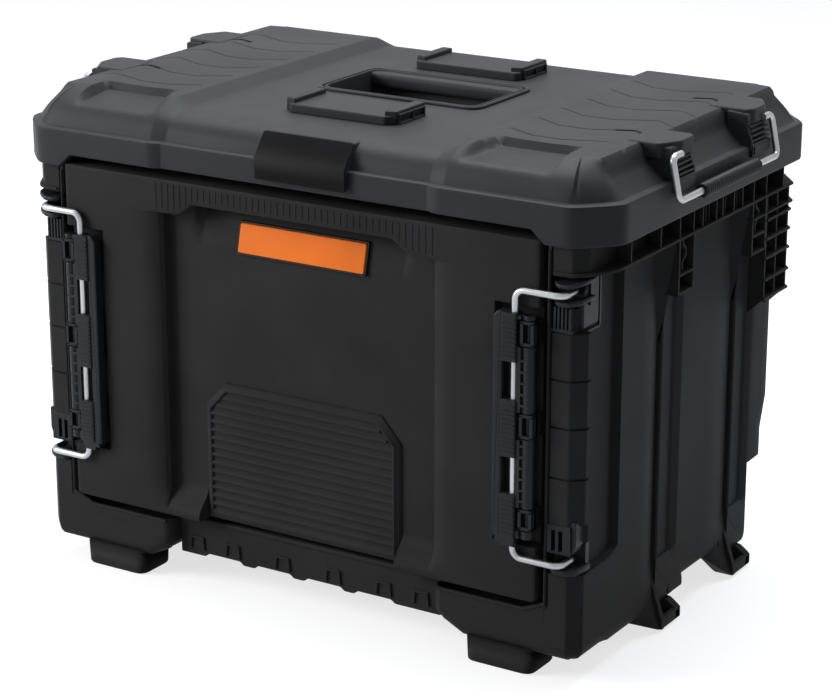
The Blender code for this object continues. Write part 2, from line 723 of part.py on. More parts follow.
def lid_blank():
    plan = rectangle(-RIM_X, RIM_X, FRONT, BACK, RIM_CHAMFER_FRONT, RIM_CHAMFER_BACK)
    return prism("rim_blank", plan, "Z", RIM_BOTTOM, RIM_TOP)


def lid_crown():
    """Rounded front and back rising from the rim to the centre field."""
    half = RIM_X - CROWN_INSET
    corner = CROWN_INSET
    foot_plan = rectangle(-half, half, FRONT + CROWN_FOOT, BACK - CROWN_FOOT, corner, corner)
    levels = [(RIM_TOP - OVERLAP, foot_plan)]
    for rise, side, depth in ((CROWN_HIP_RISE, CROWN_HIP_SIDE, CROWN_HIP),
                              (CROWN_SHOULDER_RISE, CROWN_SHOULDER_SIDE, CROWN_SHOULDER),
                              (CROWN_RISE, CROWN_EDGE_SIDE, CROWN_EDGE)):
        plan = rectangle(side - half, half - side, FRONT + depth, BACK - depth, corner, corner)
        levels.append((RIM_TOP + rise, plan))
    return loft("crown", levels)


def lid_deck(sign):
    """Raised deck at one end of the lid, with sloped sides."""
    half = RIM_X - CROWN_INSET
    corner = CROWN_INSET
    x0, x1 = sorted((sign * (DECK_INNER - DECK_SLOPE), sign * half))
    foot_plan = rectangle(x0, x1, FRONT + CROWN_FOOT, BACK - DECK_FOOT, corner, corner)
    levels = [(RIM_TOP - OVERLAP, foot_plan)]
    hip = (DECK_HIP_RISE, DECK_HIP_SLOPE, DECK_HIP_SIDE, DECK_HIP, DECK_HIP_BACK)
    shoulder = (DECK_SHOULDER_RISE, DECK_SHOULDER_SLOPE, DECK_SHOULDER_SIDE, DECK_SHOULDER,
                DECK_SHOULDER_BACK)
    edge = (CROWN_RISE + DECK_RISE, 0.0, DECK_EDGE_SIDE, DECK_EDGE, DECK_EDGE_BACK)
    for rise, slope, side, front, back in (hip, shoulder, edge):
        x0, x1 = sorted((sign * (DECK_INNER - slope), sign * (half - side)))
        plan = rectangle(x0, x1, FRONT + front, BACK - back, corner, corner)
        levels.append((RIM_TOP + rise, plan))
    return loft("deck", levels)


def bail_bosses(sign):
    """Boss of the bail's two stubs, with a hood behind each arm."""
    outer = BAIL_X + BOSS_OUT
    hood = BAIL_X - HOOD_BACK
    inner = RIM_X - 2 * CROWN_INSET
    top = BAIL_Z + BOSS_TOP
    spans = []
    for end in (-1, 1):
        y0, y1 = sorted((MID + end * BOSS_INNER, MID + end * (BAIL_HALF - BAIL_RADIUS - BOSS_CLEAR)))
        x0, x1 = sorted((sign * inner, sign * outer))
        spans.append((x0, x1, y0, y1, RIM_TOP + BOSS_FOOT, top))
    hoods = []
    for end in (-1, 1):
        y0, y1 = sorted((MID + end * (BOSS_INNER + RIB), MID + end * (BAIL_HALF + HOOD_LENGTH)))
        x0, x1 = sorted((sign * inner, sign * hood))
        hoods.append((x0, x1, y0, y1, RIM_TOP + 2 * BOSS_FOOT, top + BOSS_FOOT))
    return boxes("bail_boss", spans), boxes("bail_hood", hoods)


def lid_cuts():
    skirt = rectangle(RIM_WALL - RIM_X, RIM_X - RIM_WALL, FRONT + RIM_WALL, BACK - RIM_WALL,
                      RIM_CHAMFER_FRONT, RIM_CHAMFER_BACK)
    raise_low = RIM_BOTTOM - OVERLAP
    raised = RIM_BOTTOM + RIM_RAISE
    rise_end = DOOR_X
    notch = [(-rise_end - RIM_RAISE, raise_low), (rise_end + RIM_RAISE, raise_low),
             (rise_end - RIM_RAISE, raised), (RIM_RAISE - rise_end, raised)]
    hollow = (BAND_WIDTH - RIM_X, RIM_X - BAND_WIDTH, FRONT + BAND_WIDTH + CROWN_INSET,
              BACK - BAND_WIDTH - CROWN_INSET, BAND_UNDER - OVERLAP, CROWN_TOP - LID_SHELL)
    return (prism("skirt_hollow", skirt, "Z", RIM_BOTTOM - OVERLAP, BAND_UNDER),
            prism("door_notch", notch, "Y", FRONT - OVERLAP, FRONT + RIM_WALL + OVERLAP),
            boxes("lid_hollow", [hollow]))


def recess_span(grow, low, high):
    """Box of the hand recess, grown on its four sides."""
    middle = MID + RECESS_SHIFT
    wide = RECESS_WIDTH / 2 + grow
    deep = RECESS_DEPTH / 2 + grow
    return (-wide, wide, middle - deep, middle + deep, low, high)


def deck_pocket(sign):
    """Trapezoid step cut in the front of a deck."""
    middle = (DECK_INNER + RIM_X - 2 * CROWN_INSET) / 2
    wide, narrow = POCKET_FRONT_WIDTH / 2, POCKET_BACK_WIDTH / 2
    reach = FRONT + POCKET_REACH
    outline = [(sign * (middle - wide), FRONT), (sign * (middle + wide), FRONT),
               (sign * (middle + narrow), reach), (sign * (middle - narrow), reach)]
    return prism("deck_pocket", outline, "Z", DECK_TOP - POCKET_DROP, DECK_TOP + OVERLAP)


def badge_outline(grow):
    """Side outline of the badge block as (y, z): upright face, sloped top, flat back."""
    low = RIM_BOTTOM + RIM_RAISE + BADGE_BOTTOM - grow
    face = low + BADGE_FACE + grow
    top = CROWN_TOP - GAP + grow
    return [(FRONT - BADGE_PROUD - grow, low), (FRONT - BADGE_PROUD - grow, face),
            (FRONT - BADGE_PROUD + BADGE_SLOPE - grow, top), (FRONT + BADGE_DEPTH + grow, top),
            (FRONT + BADGE_DEPTH + grow, low)]


def badge(name, grow):
    return prism(name, badge_outline(grow), "X", BADGE_SHIFT - BADGE_WIDTH / 2 - grow,
                 BADGE_SHIFT + BADGE_WIDTH / 2 + grow)


def lid():
    fittings = [fitting for _, sign in SIDES for fitting in (lid_deck(sign), *bail_bosses(sign))]
    piece = join(lid_blank(), lid_crown(), *fittings)
    cut(piece, *lid_cuts())
    recess_floor = CROWN_TOP - RECESS_DROP
    tub = boxes("recess_tub", [recess_span(TUB_WALL, recess_floor - TUB_WALL, CROWN_TOP - LID_SHELL / 2)])
    posts = rods("screw_posts", SCREW_SPOTS, SCREW_BOSS_RADIUS, "Z", BODY_TOP + GAP, BAND_UNDER + OVERLAP)
    join(piece, tub, posts)
    recess = boxes("hand_recess", [recess_span(0.0, recess_floor, CROWN_TOP + OVERLAP)])
    holes = rods("screw_holes", SCREW_SPOTS, SCREW_RADIUS + GAP, "Z", BODY_TOP - OVERLAP,
                 FLANGE_UNDER + SCREW_LENGTH + RUN)
    stub_end = BAIL_HALF - BAIL_STUB - RUN
    bores = [rods("stub_bore", [(sign * BAIL_X, BAIL_Z)], BAIL_RADIUS + GAP, "Y", *sorted(
        (MID + end * stub_end, MID + end * BAIL_HALF))) for _, sign in SIDES for end in (-1, 1)]
    pockets = [deck_pocket(sign) for _, sign in SIDES]
    cut(piece, recess, holes, *bores, *pockets, badge("badge_seat", GAP))
    return finish(piece, "lid", SHELL_BLACK)


def cleat(name, offset):
    """Flat plate with a raised ridge along each end."""
    half = CLEAT_WIDTH / 2
    low = CROWN_TOP + GAP
    plate = low + CLEAT_THICK
    inner = half - CLEAT_RIDGE_WIDTH
    outline = [(-half, low), (half, low), (half, plate + CLEAT_RIDGE), (inner, plate + CLEAT_RIDGE),
               (inner, plate), (-inner, plate), (-inner, plate + CLEAT_RIDGE), (-half, plate + CLEAT_RIDGE)]
    y = MID + offset
    return finish(prism(name, outline, "Y", y - CLEAT_LENGTH / 2, y + CLEAT_LENGTH / 2), name, SHELL_BLACK)


def ring(name, outer, inner, axis, low, high, material):
    """Flat gasket between two rectangles."""
    piece = prism(name, rectangle(*outer), axis, low, high)
    hole = prism(f"{name}_hole", rectangle(*inner), axis, low - OVERLAP, high + OVERLAP)
    return finish(cut(piece, hole), name, material)


def seals():
    inset = (BODY_WALL - SEAL_WIDTH) / 2
    x = BODY_X - inset
    y0 = FRAME_FACE + inset
    y1 = BODY_BACK - inset
    corner = BODY_CHAMFER_BACK + inset
    outline = (-x, x, y0, y1, inset, corner)
    hole = (SEAL_WIDTH - x, x - SEAL_WIDTH, y0 + SEAL_WIDTH, y1 - SEAL_WIDTH, inset, corner)
    ring("lid_seal", outline, hole, "Z", BODY_TOP + GAP, BODY_TOP + GAP + SEAL_HEIGHT, SEAL_RUBBER)
    x = DOORWAY_X + RIB
    z0 = DOOR_BOTTOM + DOORWAY_INSET - RIB
    z1 = DOOR_TOP - DOORWAY_INSET + RIB
    wide = DOOR_SEAL_WIDTH
    ring("door_seal", (-x - wide, x + wide, z0 - wide, z1 + wide), (-x, x, z0, z1), "Y",
         DOOR_BACK + GAP, DOOR_BACK + GAP + DOOR_SEAL_THICK, SEAL_RUBBER)


def lid_screws():
    profile = [(0.0, SCREW_LENGTH), (SCREW_RADIUS, SCREW_LENGTH), (SCREW_RADIUS, -GAP),
               (SCREW_HEAD_RADIUS, -GAP), (SCREW_HEAD_RADIUS, -SCREW_HEAD), (0.0, -SCREW_HEAD)]
    for number, (x, y) in enumerate(SCREW_SPOTS, 1):
        screw = finish(turned("screw", profile), f"lid_screw_{number}", SCREW_STEEL)
        screw.location = (x, y, FLANGE_UNDER)


# Door

def door_cuts():
    """Front field with its sloped sides, lip handle and grip pocket, and the hollow back."""
    low = DOOR_BOTTOM + FIELD_SILL
    lip = DOOR_TOP - LIP_HEIGHT
    deep = DOOR_TOP - LIP_DEEP
    front = DOOR_FRONT - OVERLAP
    field_half = FIELD_HALF - FIELD_SLOPE

    def field(half, bottom):
        return [(-half, bottom), (half, bottom), (half, deep), (LIP_HALF + LIP_FLARE, deep),
                (LIP_HALF, lip), (-LIP_HALF, lip), (-LIP_HALF - LIP_FLARE, deep), (-half, deep)]

    mouth = field(FIELD_HALF, low)
    face = loft("door_field", [(front, mouth), (DOOR_FRONT, mouth),
                               (FIELD_FRONT, field(field_half, low + FIELD_RAMP))])
    face.data.transform(Matrix(((1, 0, 0, 0), (0, 0, 1, 0), (0, 1, 0, 0), (0, 0, 0, 1))))
    face.data.flip_normals()
    grip = [(front, lip - GRIP_HEIGHT), (FIELD_FRONT, lip - GRIP_HEIGHT), (FIELD_FRONT + GRIP_DROP, lip),
            (front, lip)]
    wall = DOOR_WALL
    back = DOOR_BACK + OVERLAP
    z0, z1 = DOOR_BOTTOM + wall, DOOR_TOP - wall
    lever_floor = DOOR_FRONT + LEVER_POCKET_DEPTH + wall
    side_in = FIELD_HALF + wall
    side_out = LEVER_X - LEVER_POCKET_MARGIN - wall
    spans = [(-FIELD_HALF, FIELD_HALF, FIELD_FRONT + wall, back, z0 + FIELD_RAMP, lip - GRIP_HEIGHT - wall)]
    for _, sign in SIDES:
        for inner, outer, face_y in ((side_in, side_out, DOOR_FRONT + wall),
                                     (side_out + wall, DOOR_X - wall, lever_floor)):
            x0, x1 = sorted((sign * inner, sign * outer))
            spans.append((x0, x1, face_y, back, z0, z1))
    pad_bay = (-PAD_HALF, PAD_HALF, front, FIELD_FRONT, DOOR_BOTTOM - OVERLAP, low + FIELD_RAMP + OVERLAP)
    return (face, prism("grip_pocket", grip, "X", -GRIP_HALF, GRIP_HALF), boxes("door_hollow", spans),
            boxes("pad_bay", [pad_bay]))


def rib_pad():
    """Raised pad on the door's lower field, its top corners cut off."""
    top = DOOR_BOTTOM + PAD_HEIGHT
    low = DOOR_BOTTOM + OVERLAP
    shoulder = top - PAD_CHAMFER
    outline = [(-PAD_HALF, low), (PAD_HALF, low), (PAD_HALF, shoulder), (PAD_HALF - PAD_CHAMFER, top),
               (PAD_CHAMFER - PAD_HALF, top), (-PAD_HALF, shoulder)]
    return prism("rib_pad", outline, "Y", FIELD_FRONT - PAD_PROUD, FIELD_FRONT + OVERLAP)


def lever_pocket_cut():
    spans = []
    for _, sign in SIDES:
        x0, x1 = sorted((sign * (LEVER_X - LEVER_POCKET_MARGIN), sign * FAR))
        spans.append((x0, x1, DOOR_FRONT - FAR, DOOR_FRONT + LEVER_POCKET_DEPTH,
                      LEVER_BOTTOM - LEVER_POCKET_END, LEVER_TOP + LEVER_POCKET_END))
    return boxes("lever_pockets", spans)


EAR_HEIGHTS = [LEVER_MID + row * EAR_PITCH for row in (-1, 0, 1)]


def ears(sign):
    """Three door ears that hold one lever's pin."""
    pieces = []
    for height in EAR_HEIGHTS:
        low, high = height - EAR_HEIGHT / 2, height + EAR_HEIGHT / 2
        x = sign * PIVOT_X
        pieces.append(boxes("ear_foot", [(x - EAR_RADIUS, x + EAR_RADIUS, PIVOT_Y,
                                          DOOR_FRONT + LEVER_POCKET_DEPTH + OVERLAP, low, high)]))
        pieces.append(rods("ear_eye", [(x, PIVOT_Y)], EAR_RADIUS, "Z", low, high))
    return pieces


def door_panel():
    piece = boxes("door_blank", [(-DOOR_X, DOOR_X, DOOR_FRONT, DOOR_BACK, DOOR_BOTTOM, DOOR_TOP)])
    cut(piece, *door_cuts(), lever_pocket_cut())
    join(piece, rib_pad(), *[ear for _, sign in SIDES for ear in ears(sign)])
    spots = [(sign * PIVOT_X, PIVOT_Y) for _, sign in SIDES]
    holes = rods("ear_holes", spots, PIN_RADIUS + GAP, "Z", LEVER_BOTTOM, LEVER_TOP)
    return finish(cut(piece, holes), "door_panel", SHELL_BLACK, door_axis)


def orange_plate():
    """Plate that lies on the sloped back of the grip pocket."""
    lip = DOOR_TOP - LIP_HEIGHT
    lean = GRIP_DROP / GRIP_HEIGHT
    low = lip - GRIP_HEIGHT + OVERLAP
    high = low + PLATE_HEIGHT
    near = FIELD_FRONT + OVERLAP * lean - GAP
    far = near + PLATE_HEIGHT * lean
    outline = [(near, low), (far, high), (far - PLATE_THICK, high), (near - PLATE_THICK, low)]
    piece = prism("orange", outline, "X", -PLATE_WIDTH / 2, PLATE_WIDTH / 2)
    return finish(piece, "door_orange_plate", ORANGE, door_axis)


# Latches

def latch_lever(side, sign):
    """Grip bar with its hinge barrel, two windows and the bore for the wire."""
    pivot = sign * PIVOT_X
    spot = sign * WIRE_X
    bar_x = sorted((sign * LEVER_X, sign * (PIVOT_X - BARREL_RADIUS)))
    neck_x = sorted((sign * (PIVOT_X - 2 * BARREL_RADIUS), pivot))
    bar = boxes("bar", [(*bar_x, PIVOT_Y - LEVER_FRONT, PIVOT_Y + LEVER_BACK, LEVER_BOTTOM, LEVER_TOP)])
    neck = boxes("neck", [(*neck_x, PIVOT_Y - BARREL_RADIUS / 2, PIVOT_Y + BARREL_RADIUS / 2,
                           LEVER_BOTTOM, LEVER_TOP)])
    barrel = rods("barrel", [(pivot, PIVOT_Y)], BARREL_RADIUS, "Z", LEVER_BOTTOM, LEVER_TOP)
    join(bar, neck, barrel)
    notch_x = sorted((sign * (PIVOT_X - EAR_RADIUS - OVERLAP), sign * (PIVOT_X + 2 * BARREL_RADIUS)))
    half = EAR_HEIGHT / 2 + RUN
    notches = boxes("ear_notches", [(*notch_x, PIVOT_Y - 2 * LEVER_FRONT, PIVOT_Y + 2 * LEVER_FRONT,
                                     height - half, height + half) for height in EAR_HEIGHTS])
    window_mids = [LEVER_MID + end * WINDOW_FROM_MID for end in (-1, 1)]
    windows = boxes("windows", [(spot - WINDOW_WIDTH / 2, spot + WINDOW_WIDTH / 2, PIVOT_Y - 2 * LEVER_FRONT,
                                 PIVOT_Y + 2 * LEVER_BACK, middle - WINDOW_HEIGHT / 2,
                                 middle + WINDOW_HEIGHT / 2) for middle in window_mids])
    pin_hole = rods("pin_hole", [(pivot, PIVOT_Y)], PIN_RADIUS + GAP, "Z", LEVER_BOTTOM - OVERLAP,
                    LEVER_TOP + OVERLAP)
    wire_hole = rods("wire_hole", [(spot, WIRE_Y)], WIRE_RADIUS + GAP, "Z", LEVER_BOTTOM - OVERLAP,
                     LEVER_TOP + OVERLAP)
    cut(bar, notches, windows, pin_hole, wire_hole)
    return finish(bar, f"{side}_latch_lever", LATCH_BLACK, lever_axes[side])


def lever_pin(side, sign):
    spot = [(sign * PIVOT_X, PIVOT_Y)]
    pin = rods("pin", spot, PIN_RADIUS, "Z", LEVER_BOTTOM + OVERLAP, LEVER_TOP - OVERLAP)
    return finish(pin, f"{side}_lever_pin", SCREW_STEEL, door_axis)


def latch_wire(side, sign):
    """One wire: tail in the upper keeper, run down through the lever, tail in the lower keeper."""
    tail = TIP_Y + WIRE_TAIL
    corners = [(TIP_X, tail, WIRE_TOP), (TIP_X, WIRE_Y, WIRE_TOP), (WIRE_X, WIRE_Y, WIRE_TOP),
               (WIRE_X, WIRE_Y, WIRE_BOTTOM), (TIP_X, WIRE_Y, WIRE_BOTTOM), (TIP_X, tail, WIRE_BOTTOM)]
    path = rounded([(sign * x, y, z) for x, y, z in corners], WIRE_BEND)
    return finish(wire("latch_wire", path, WIRE_RADIUS), f"{side}_latch_wire", WIRE_STEEL, wire_axes[side])


def keeper(side, sign, place, height):
    """Block in the post whose two fingers lie above and below the wire's end."""
    wide = sorted((sign * (POST_X + GAP), sign * (BODY_X - VALLEY_DEPTH - GAP)))
    back = TIP_Y + KEEPER_BACK
    half = KEEPER_HALF - GAP
    block = boxes("keeper_plate", [(*wide, back, back + KEEPER_PLATE, height - half, height + half)])
    half_turn = ROUND_STEPS // 2
    arc = [pi + pi * step / half_turn for step in range(half_turn + 1)]
    outline = [(sign * TIP_X + FINGER_RADIUS * cos(turn), TIP_Y + FINGER_RADIUS * sin(turn)) for turn in arc]
    root = back + OVERLAP
    outline += [(sign * TIP_X + FINGER_RADIUS, root), (sign * TIP_X - FINGER_RADIUS, root)]
    slot = WIRE_RADIUS + RUN
    for end in (-1, 1):
        low, high = sorted((height + end * slot, height + end * (slot + FINGER_HEIGHT)))
        join(block, prism("finger", outline, "Z", low, high))
    return finish(block, f"{side}_{place}_keeper", LATCH_BLACK)


# Bails

def bail(side, sign):
    stub = BAIL_HALF - BAIL_STUB
    corners = [(BAIL_X, stub, BAIL_Z), (BAIL_X, BAIL_HALF, BAIL_Z), (GRIP_X, BAIL_HALF, GRIP_Z),
               (GRIP_X, -BAIL_HALF, GRIP_Z), (BAIL_X, -BAIL_HALF, BAIL_Z), (BAIL_X, -stub, BAIL_Z)]
    path = rounded([(sign * x, MID + y, z) for x, y, z in corners], BAIL_BEND)
    return finish(wire("bail", path, BAIL_RADIUS), f"{side}_bail", WIRE_STEEL, bail_axes[side])


def bail_grip(side, sign):
    """Ribbed tube on the bail's lower run."""
    half = GRIP_LENGTH / 2
    pitch = GRIP_LENGTH / GRIP_RIBS
    bore = BAIL_RADIUS + GAP
    profile = []
    for rib in range(GRIP_RIBS):
        top = half - rib * pitch
        profile += [(GRIP_RADIUS - GRIP_RIB_DEPTH, top), (GRIP_RADIUS, top - pitch / 3),
                    (GRIP_RADIUS, top - 2 * pitch / 3)]
    profile.append((GRIP_RADIUS - GRIP_RIB_DEPTH, -half))
    profile = [(bore, half), *profile, (bore, -half), (bore, half)]
    tube = finish(turned("grip", profile), f"{side}_bail_grip", LATCH_BLACK, bail_axes[side])
    tube.matrix_parent_inverse = Matrix.Identity(4)
    tube.location = Vector((sign * GRIP_X, MID, GRIP_Z)) - bail_axes[side].location
    tube.rotation_euler = (pi / 2, 0.0, 0.0)
    return tube


# Assembly

body_shell()
lid()
for cleat_name, cleat_offset in (("front_cleat", CLEAT_FRONT_OFFSET), ("rear_cleat", CLEAT_BACK_OFFSET)):
    cleat(cleat_name, cleat_offset)
finish(badge("badge", 0.0), "badge_plate", BADGE_BLACK)
seals()
lid_screws()
door_panel()
orange_plate()
for side_name, side_sign in SIDES:
    latch_lever(side_name, side_sign)
    lever_pin(side_name, side_sign)
    latch_wire(side_name, side_sign)
    for keeper_place, keeper_height in (("upper", WIRE_TOP), ("lower", WIRE_BOTTOM)):
        keeper(side_name, side_sign, keeper_place, keeper_height)
    bail(side_name, side_sign)
    bail_grip(side_name, side_sign)
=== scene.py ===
# %% [markdown]
# # A black tool chest with a front door
# The real chest is moulded in matte black plastic: a ribbed body with two latch posts, a door held by wire
# draw latches, and a lid with raised decks that the next chest stacks on. The CAD solids give every place
# and size, so the lesson loads them first and builds finer skins over them. All shapes here are written in
# millimetres and scaled once, when a mesh is made.

from functools import partial
from math import ceil, cos, pi, radians, sin

import bpy
import numpy as np
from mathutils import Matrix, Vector


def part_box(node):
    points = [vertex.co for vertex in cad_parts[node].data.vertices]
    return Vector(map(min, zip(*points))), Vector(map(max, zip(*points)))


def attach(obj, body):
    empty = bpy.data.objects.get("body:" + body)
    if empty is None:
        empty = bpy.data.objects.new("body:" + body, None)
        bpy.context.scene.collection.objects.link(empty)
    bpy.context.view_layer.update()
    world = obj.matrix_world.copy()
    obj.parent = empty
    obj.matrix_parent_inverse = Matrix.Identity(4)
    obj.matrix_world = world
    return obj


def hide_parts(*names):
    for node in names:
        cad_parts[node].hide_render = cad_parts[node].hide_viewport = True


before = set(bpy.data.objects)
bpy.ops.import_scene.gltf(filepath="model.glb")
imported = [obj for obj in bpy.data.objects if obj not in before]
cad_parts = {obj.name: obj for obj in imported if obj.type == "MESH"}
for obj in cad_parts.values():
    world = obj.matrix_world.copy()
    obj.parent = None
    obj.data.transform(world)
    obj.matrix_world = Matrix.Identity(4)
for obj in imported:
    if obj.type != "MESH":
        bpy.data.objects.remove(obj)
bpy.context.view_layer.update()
MM = 0.001
SIDES = (("left", -1), ("right", 1))

# %% [markdown]
# ## The camera
# The picture was taken with a long lens from the front right, a little above the lid. A camera can be placed
# by eye, but here its place and turn were solved from the corners of the chest, so they are plain numbers.

# %% Camera
camera_data = bpy.data.cameras.new("photo_camera")
camera_data.lens = 112.36
camera_data.sensor_width = 36
camera_data.sensor_fit = "HORIZONTAL"
camera = bpy.data.objects.new("photo_camera", camera_data)
camera.location = (1.1336, -1.81125, 0.8724)
camera.rotation_euler = (radians(72.094), 0, radians(32.02))
bpy.context.scene.collection.objects.link(camera)
bpy.context.scene.camera = camera
print("camera", [round(v, 3) for v in camera.location])

# %% [markdown]
# ## Floor and light
# A product picture has a white sweep and broad soft light. An image of a studio could light the chest, but
# three area lamps are easier to steer. The world is bright for what the camera and the gloss see and dimmer
# for the light it gives, so the black plastic isn't washed out. The floor is a large sheet that keeps the
# shadow. It adds some white of its own, which only the camera and the gloss see.

# %% World
scene = bpy.context.scene
scene.view_settings.view_transform = "Standard"


def add_node(tree, kind, **settings):
    node = tree.nodes.new(kind)
    for key, value in settings.items():
        setattr(node, key, value)
    return node


def link_up(tree, *pairs):
    """Join each output to its input."""
    for output, socket in pairs:
        tree.links.new(output, socket)


def seen_directly(tree):
    """1 for camera, glossy and transmission rays, 0 for the rest."""
    path = add_node(tree, "ShaderNodeLightPath")
    either = add_node(tree, "ShaderNodeMath", operation="MAXIMUM")
    any_of = add_node(tree, "ShaderNodeMath", operation="MAXIMUM")
    link_up(tree, (path.outputs["Is Camera Ray"], either.inputs[0]),
            (path.outputs["Is Glossy Ray"], either.inputs[1]),
            (either.outputs[0], any_of.inputs[0]),
            (path.outputs["Is Transmission Ray"], any_of.inputs[1]))
    return any_of.outputs[0]


world = bpy.data.worlds.new("studio")
scene.world = world
world.use_nodes = True
sky = world.node_tree
sky.nodes.clear()
glow = add_node(sky, "ShaderNodeBackground")
glow.inputs["Color"].default_value = (0.95, 0.97, 1.0, 1)
glow.inputs["Strength"].default_value = 0.24
sweep = add_node(sky, "ShaderNodeBackground")
sweep.inputs["Strength"].default_value = 1.0
choose = add_node(sky, "ShaderNodeMixShader")
link_up(sky, (seen_directly(sky), choose.inputs["Fac"]),
        (glow.outputs[0], choose.inputs[1]),
        (sweep.outputs[0], choose.inputs[2]),
        (choose.outputs[0], add_node(sky, "ShaderNodeOutputWorld").inputs["Surface"]))
print("world", world.name)

# %% Soft boxes
LAMP_AIM = Vector((0, 0, 0.25))


def soft_box(name, place, size, energy, tint=(1, 1, 1)):
    """A wide lamp that points at the middle of the chest."""
    lamp = bpy.data.lights.new(name, "AREA")
    lamp.shape = "RECTANGLE"
    lamp.size, lamp.size_y = size
    lamp.energy = energy
    lamp.color = tint
    holder = bpy.data.objects.new(name, lamp)
    holder.location = place
    holder.rotation_euler = (LAMP_AIM - Vector(place)).to_track_quat("-Z", "Y").to_euler()
    scene.collection.objects.link(holder)


soft_box("overhead_box", (-0.2, 0.5, 2.1), (2.0, 1.4), 75, (0.88, 0.94, 1.0))
soft_box("front_box", (-1.9, -1.5, 1.1), (1.2, 1.2), 62)
soft_box("side_box", (1.9, 1.2, 1.2), (1.0, 1.4), 1.5, (0.95, 0.97, 1.0))

# %% Floor
FLOOR_HALF, FLOOR_GLOW = 9, 0.72
floor_mesh = bpy.data.meshes.new("floor")
floor_mesh.from_pydata([(a * FLOOR_HALF, b * FLOOR_HALF, 0) for a, b in ((-1, -1), (1, -1), (1, 1), (-1, 1))],
                       [], [(0, 1, 2, 3)])
floor = bpy.data.objects.new("floor", floor_mesh)
scene.collection.objects.link(floor)
paper = bpy.data.materials.new("floor_paper")
paper.use_nodes = True
sheet = paper.node_tree
shader = sheet.nodes["Principled BSDF"]
shader.inputs["Base Color"].default_value = (0.4, 0.4, 0.4, 1)
shader.inputs["Roughness"].default_value = 0.9
shader.inputs["Emission Color"].default_value = (1, 1, 1, 1)
lift = add_node(sheet, "ShaderNodeMath", operation="MULTIPLY")
lift.inputs[1].default_value = FLOOR_GLOW
link_up(sheet, (seen_directly(sheet), lift.inputs[0]), (lift.outputs[0], shader.inputs["Emission Strength"]))
floor_mesh.materials.append(paper)
print("floor", floor.name)

# %% [markdown]
# ## Finishes
# Most of the chest is one black plastic with a fine spark-eroded grain. The same three effects serve every
# finish, so each is a node group: grain for the bump, a painted highlight that lightens the colour along the
# edges, and a slow unevenness of the surface.
# Painting textures would also work, but these follow the shape at any size and need no images.

# %% Grain


def effect_group(name, inputs, output):
    """An empty group with named number inputs and one output; also its two end nodes."""
    group = bpy.data.node_groups.new(name, "ShaderNodeTree")
    for label, value in inputs.items():
        socket = group.interface.new_socket(label, in_out="INPUT", socket_type="NodeSocketFloat")
        socket.default_value = value
    group.interface.new_socket(output, in_out="OUTPUT", socket_type="NodeSocketFloat")
    return group, add_node(group, "NodeGroupInput"), add_node(group, "NodeGroupOutput")


grain_group, given, gives = effect_group("moulded_grain", {"Scale": 1400.0}, "Height")
place = add_node(grain_group, "ShaderNodeTexCoord")
fine = add_node(grain_group, "ShaderNodeTexNoise")
fine.inputs["Detail"].default_value = 3
fine.inputs["Roughness"].default_value = 0.6
link_up(grain_group, (place.outputs["Object"], fine.inputs["Vector"]),
        (given.outputs["Scale"], fine.inputs["Scale"]),
        (fine.outputs["Fac"], gives.inputs["Height"]))
print("effect", grain_group.name)

# %% Painted edge highlights
# Painted highlight: a mask of the rounded edges, broken up by noise, that lightens the colour there as if the
# edges caught the light
edge_highlight_group, given, gives = effect_group("painted_edge_highlight", {"Width": 0.0012, "Amount": 1.0}, "Mask")
soft_normal = add_node(edge_highlight_group, "ShaderNodeBevel", samples=4)
true_normal = add_node(edge_highlight_group, "ShaderNodeNewGeometry")
turn = add_node(edge_highlight_group, "ShaderNodeVectorMath", operation="DOT_PRODUCT")
bend = add_node(edge_highlight_group, "ShaderNodeMapRange")
bend.inputs["From Min"].default_value = 0.995
bend.inputs["From Max"].default_value = 0.80
patch = add_node(edge_highlight_group, "ShaderNodeTexNoise")
patch.inputs["Scale"].default_value = 60
uneven = add_node(edge_highlight_group, "ShaderNodeMath", operation="MULTIPLY")
scaled = add_node(edge_highlight_group, "ShaderNodeMath", operation="MULTIPLY", use_clamp=True)
link_up(edge_highlight_group, (given.outputs["Width"], soft_normal.inputs["Radius"]),
        (soft_normal.outputs["Normal"], turn.inputs[0]),
        (true_normal.outputs["Normal"], turn.inputs[1]),
        (turn.outputs["Value"], bend.inputs["Value"]),
        (bend.outputs["Result"], uneven.inputs[0]),
        (patch.outputs["Fac"], uneven.inputs[1]),
        (uneven.outputs[0], scaled.inputs[0]),
        (given.outputs["Amount"], scaled.inputs[1]),
        (scaled.outputs[0], gives.inputs["Mask"]))
print("effect", edge_highlight_group.name)

# %% Slow unevenness
cloud_group, given, gives = effect_group("surface_cloud", {"Scale": 9.0, "Low": 0.4, "High": 0.6}, "Value")
place = add_node(cloud_group, "ShaderNodeTexCoord")
cloud = add_node(cloud_group, "ShaderNodeTexNoise")
cloud.inputs["Detail"].default_value = 5
spread = add_node(cloud_group, "ShaderNodeMapRange")
spread.inputs["From Min"].default_value = 0.3
spread.inputs["From Max"].default_value = 0.7
link_up(cloud_group, (place.outputs["Object"], cloud.inputs["Vector"]),
        (given.outputs["Scale"], cloud.inputs["Scale"]),
        (cloud.outputs["Fac"], spread.inputs["Value"]),
        (given.outputs["Low"], spread.inputs["To Min"]),
        (given.outputs["High"], spread.inputs["To Max"]),
        (spread.outputs["Result"], gives.inputs["Value"]))
print("effect", cloud_group.name)

# %% Finishes of the chest
# How strongly the painted edge highlight lightens the colour on the edges
EDGE_HIGHLIGHT = 0.5
SHADE_CLOUD = {"Scale": 14.0, "Low": 0.86, "High": 1.1}


def place_effect(tree, group, **values):
    node = add_node(tree, "ShaderNodeGroup", node_tree=group)
    for label, value in values.items():
        node.inputs[label].default_value = value
    return node.outputs[0]


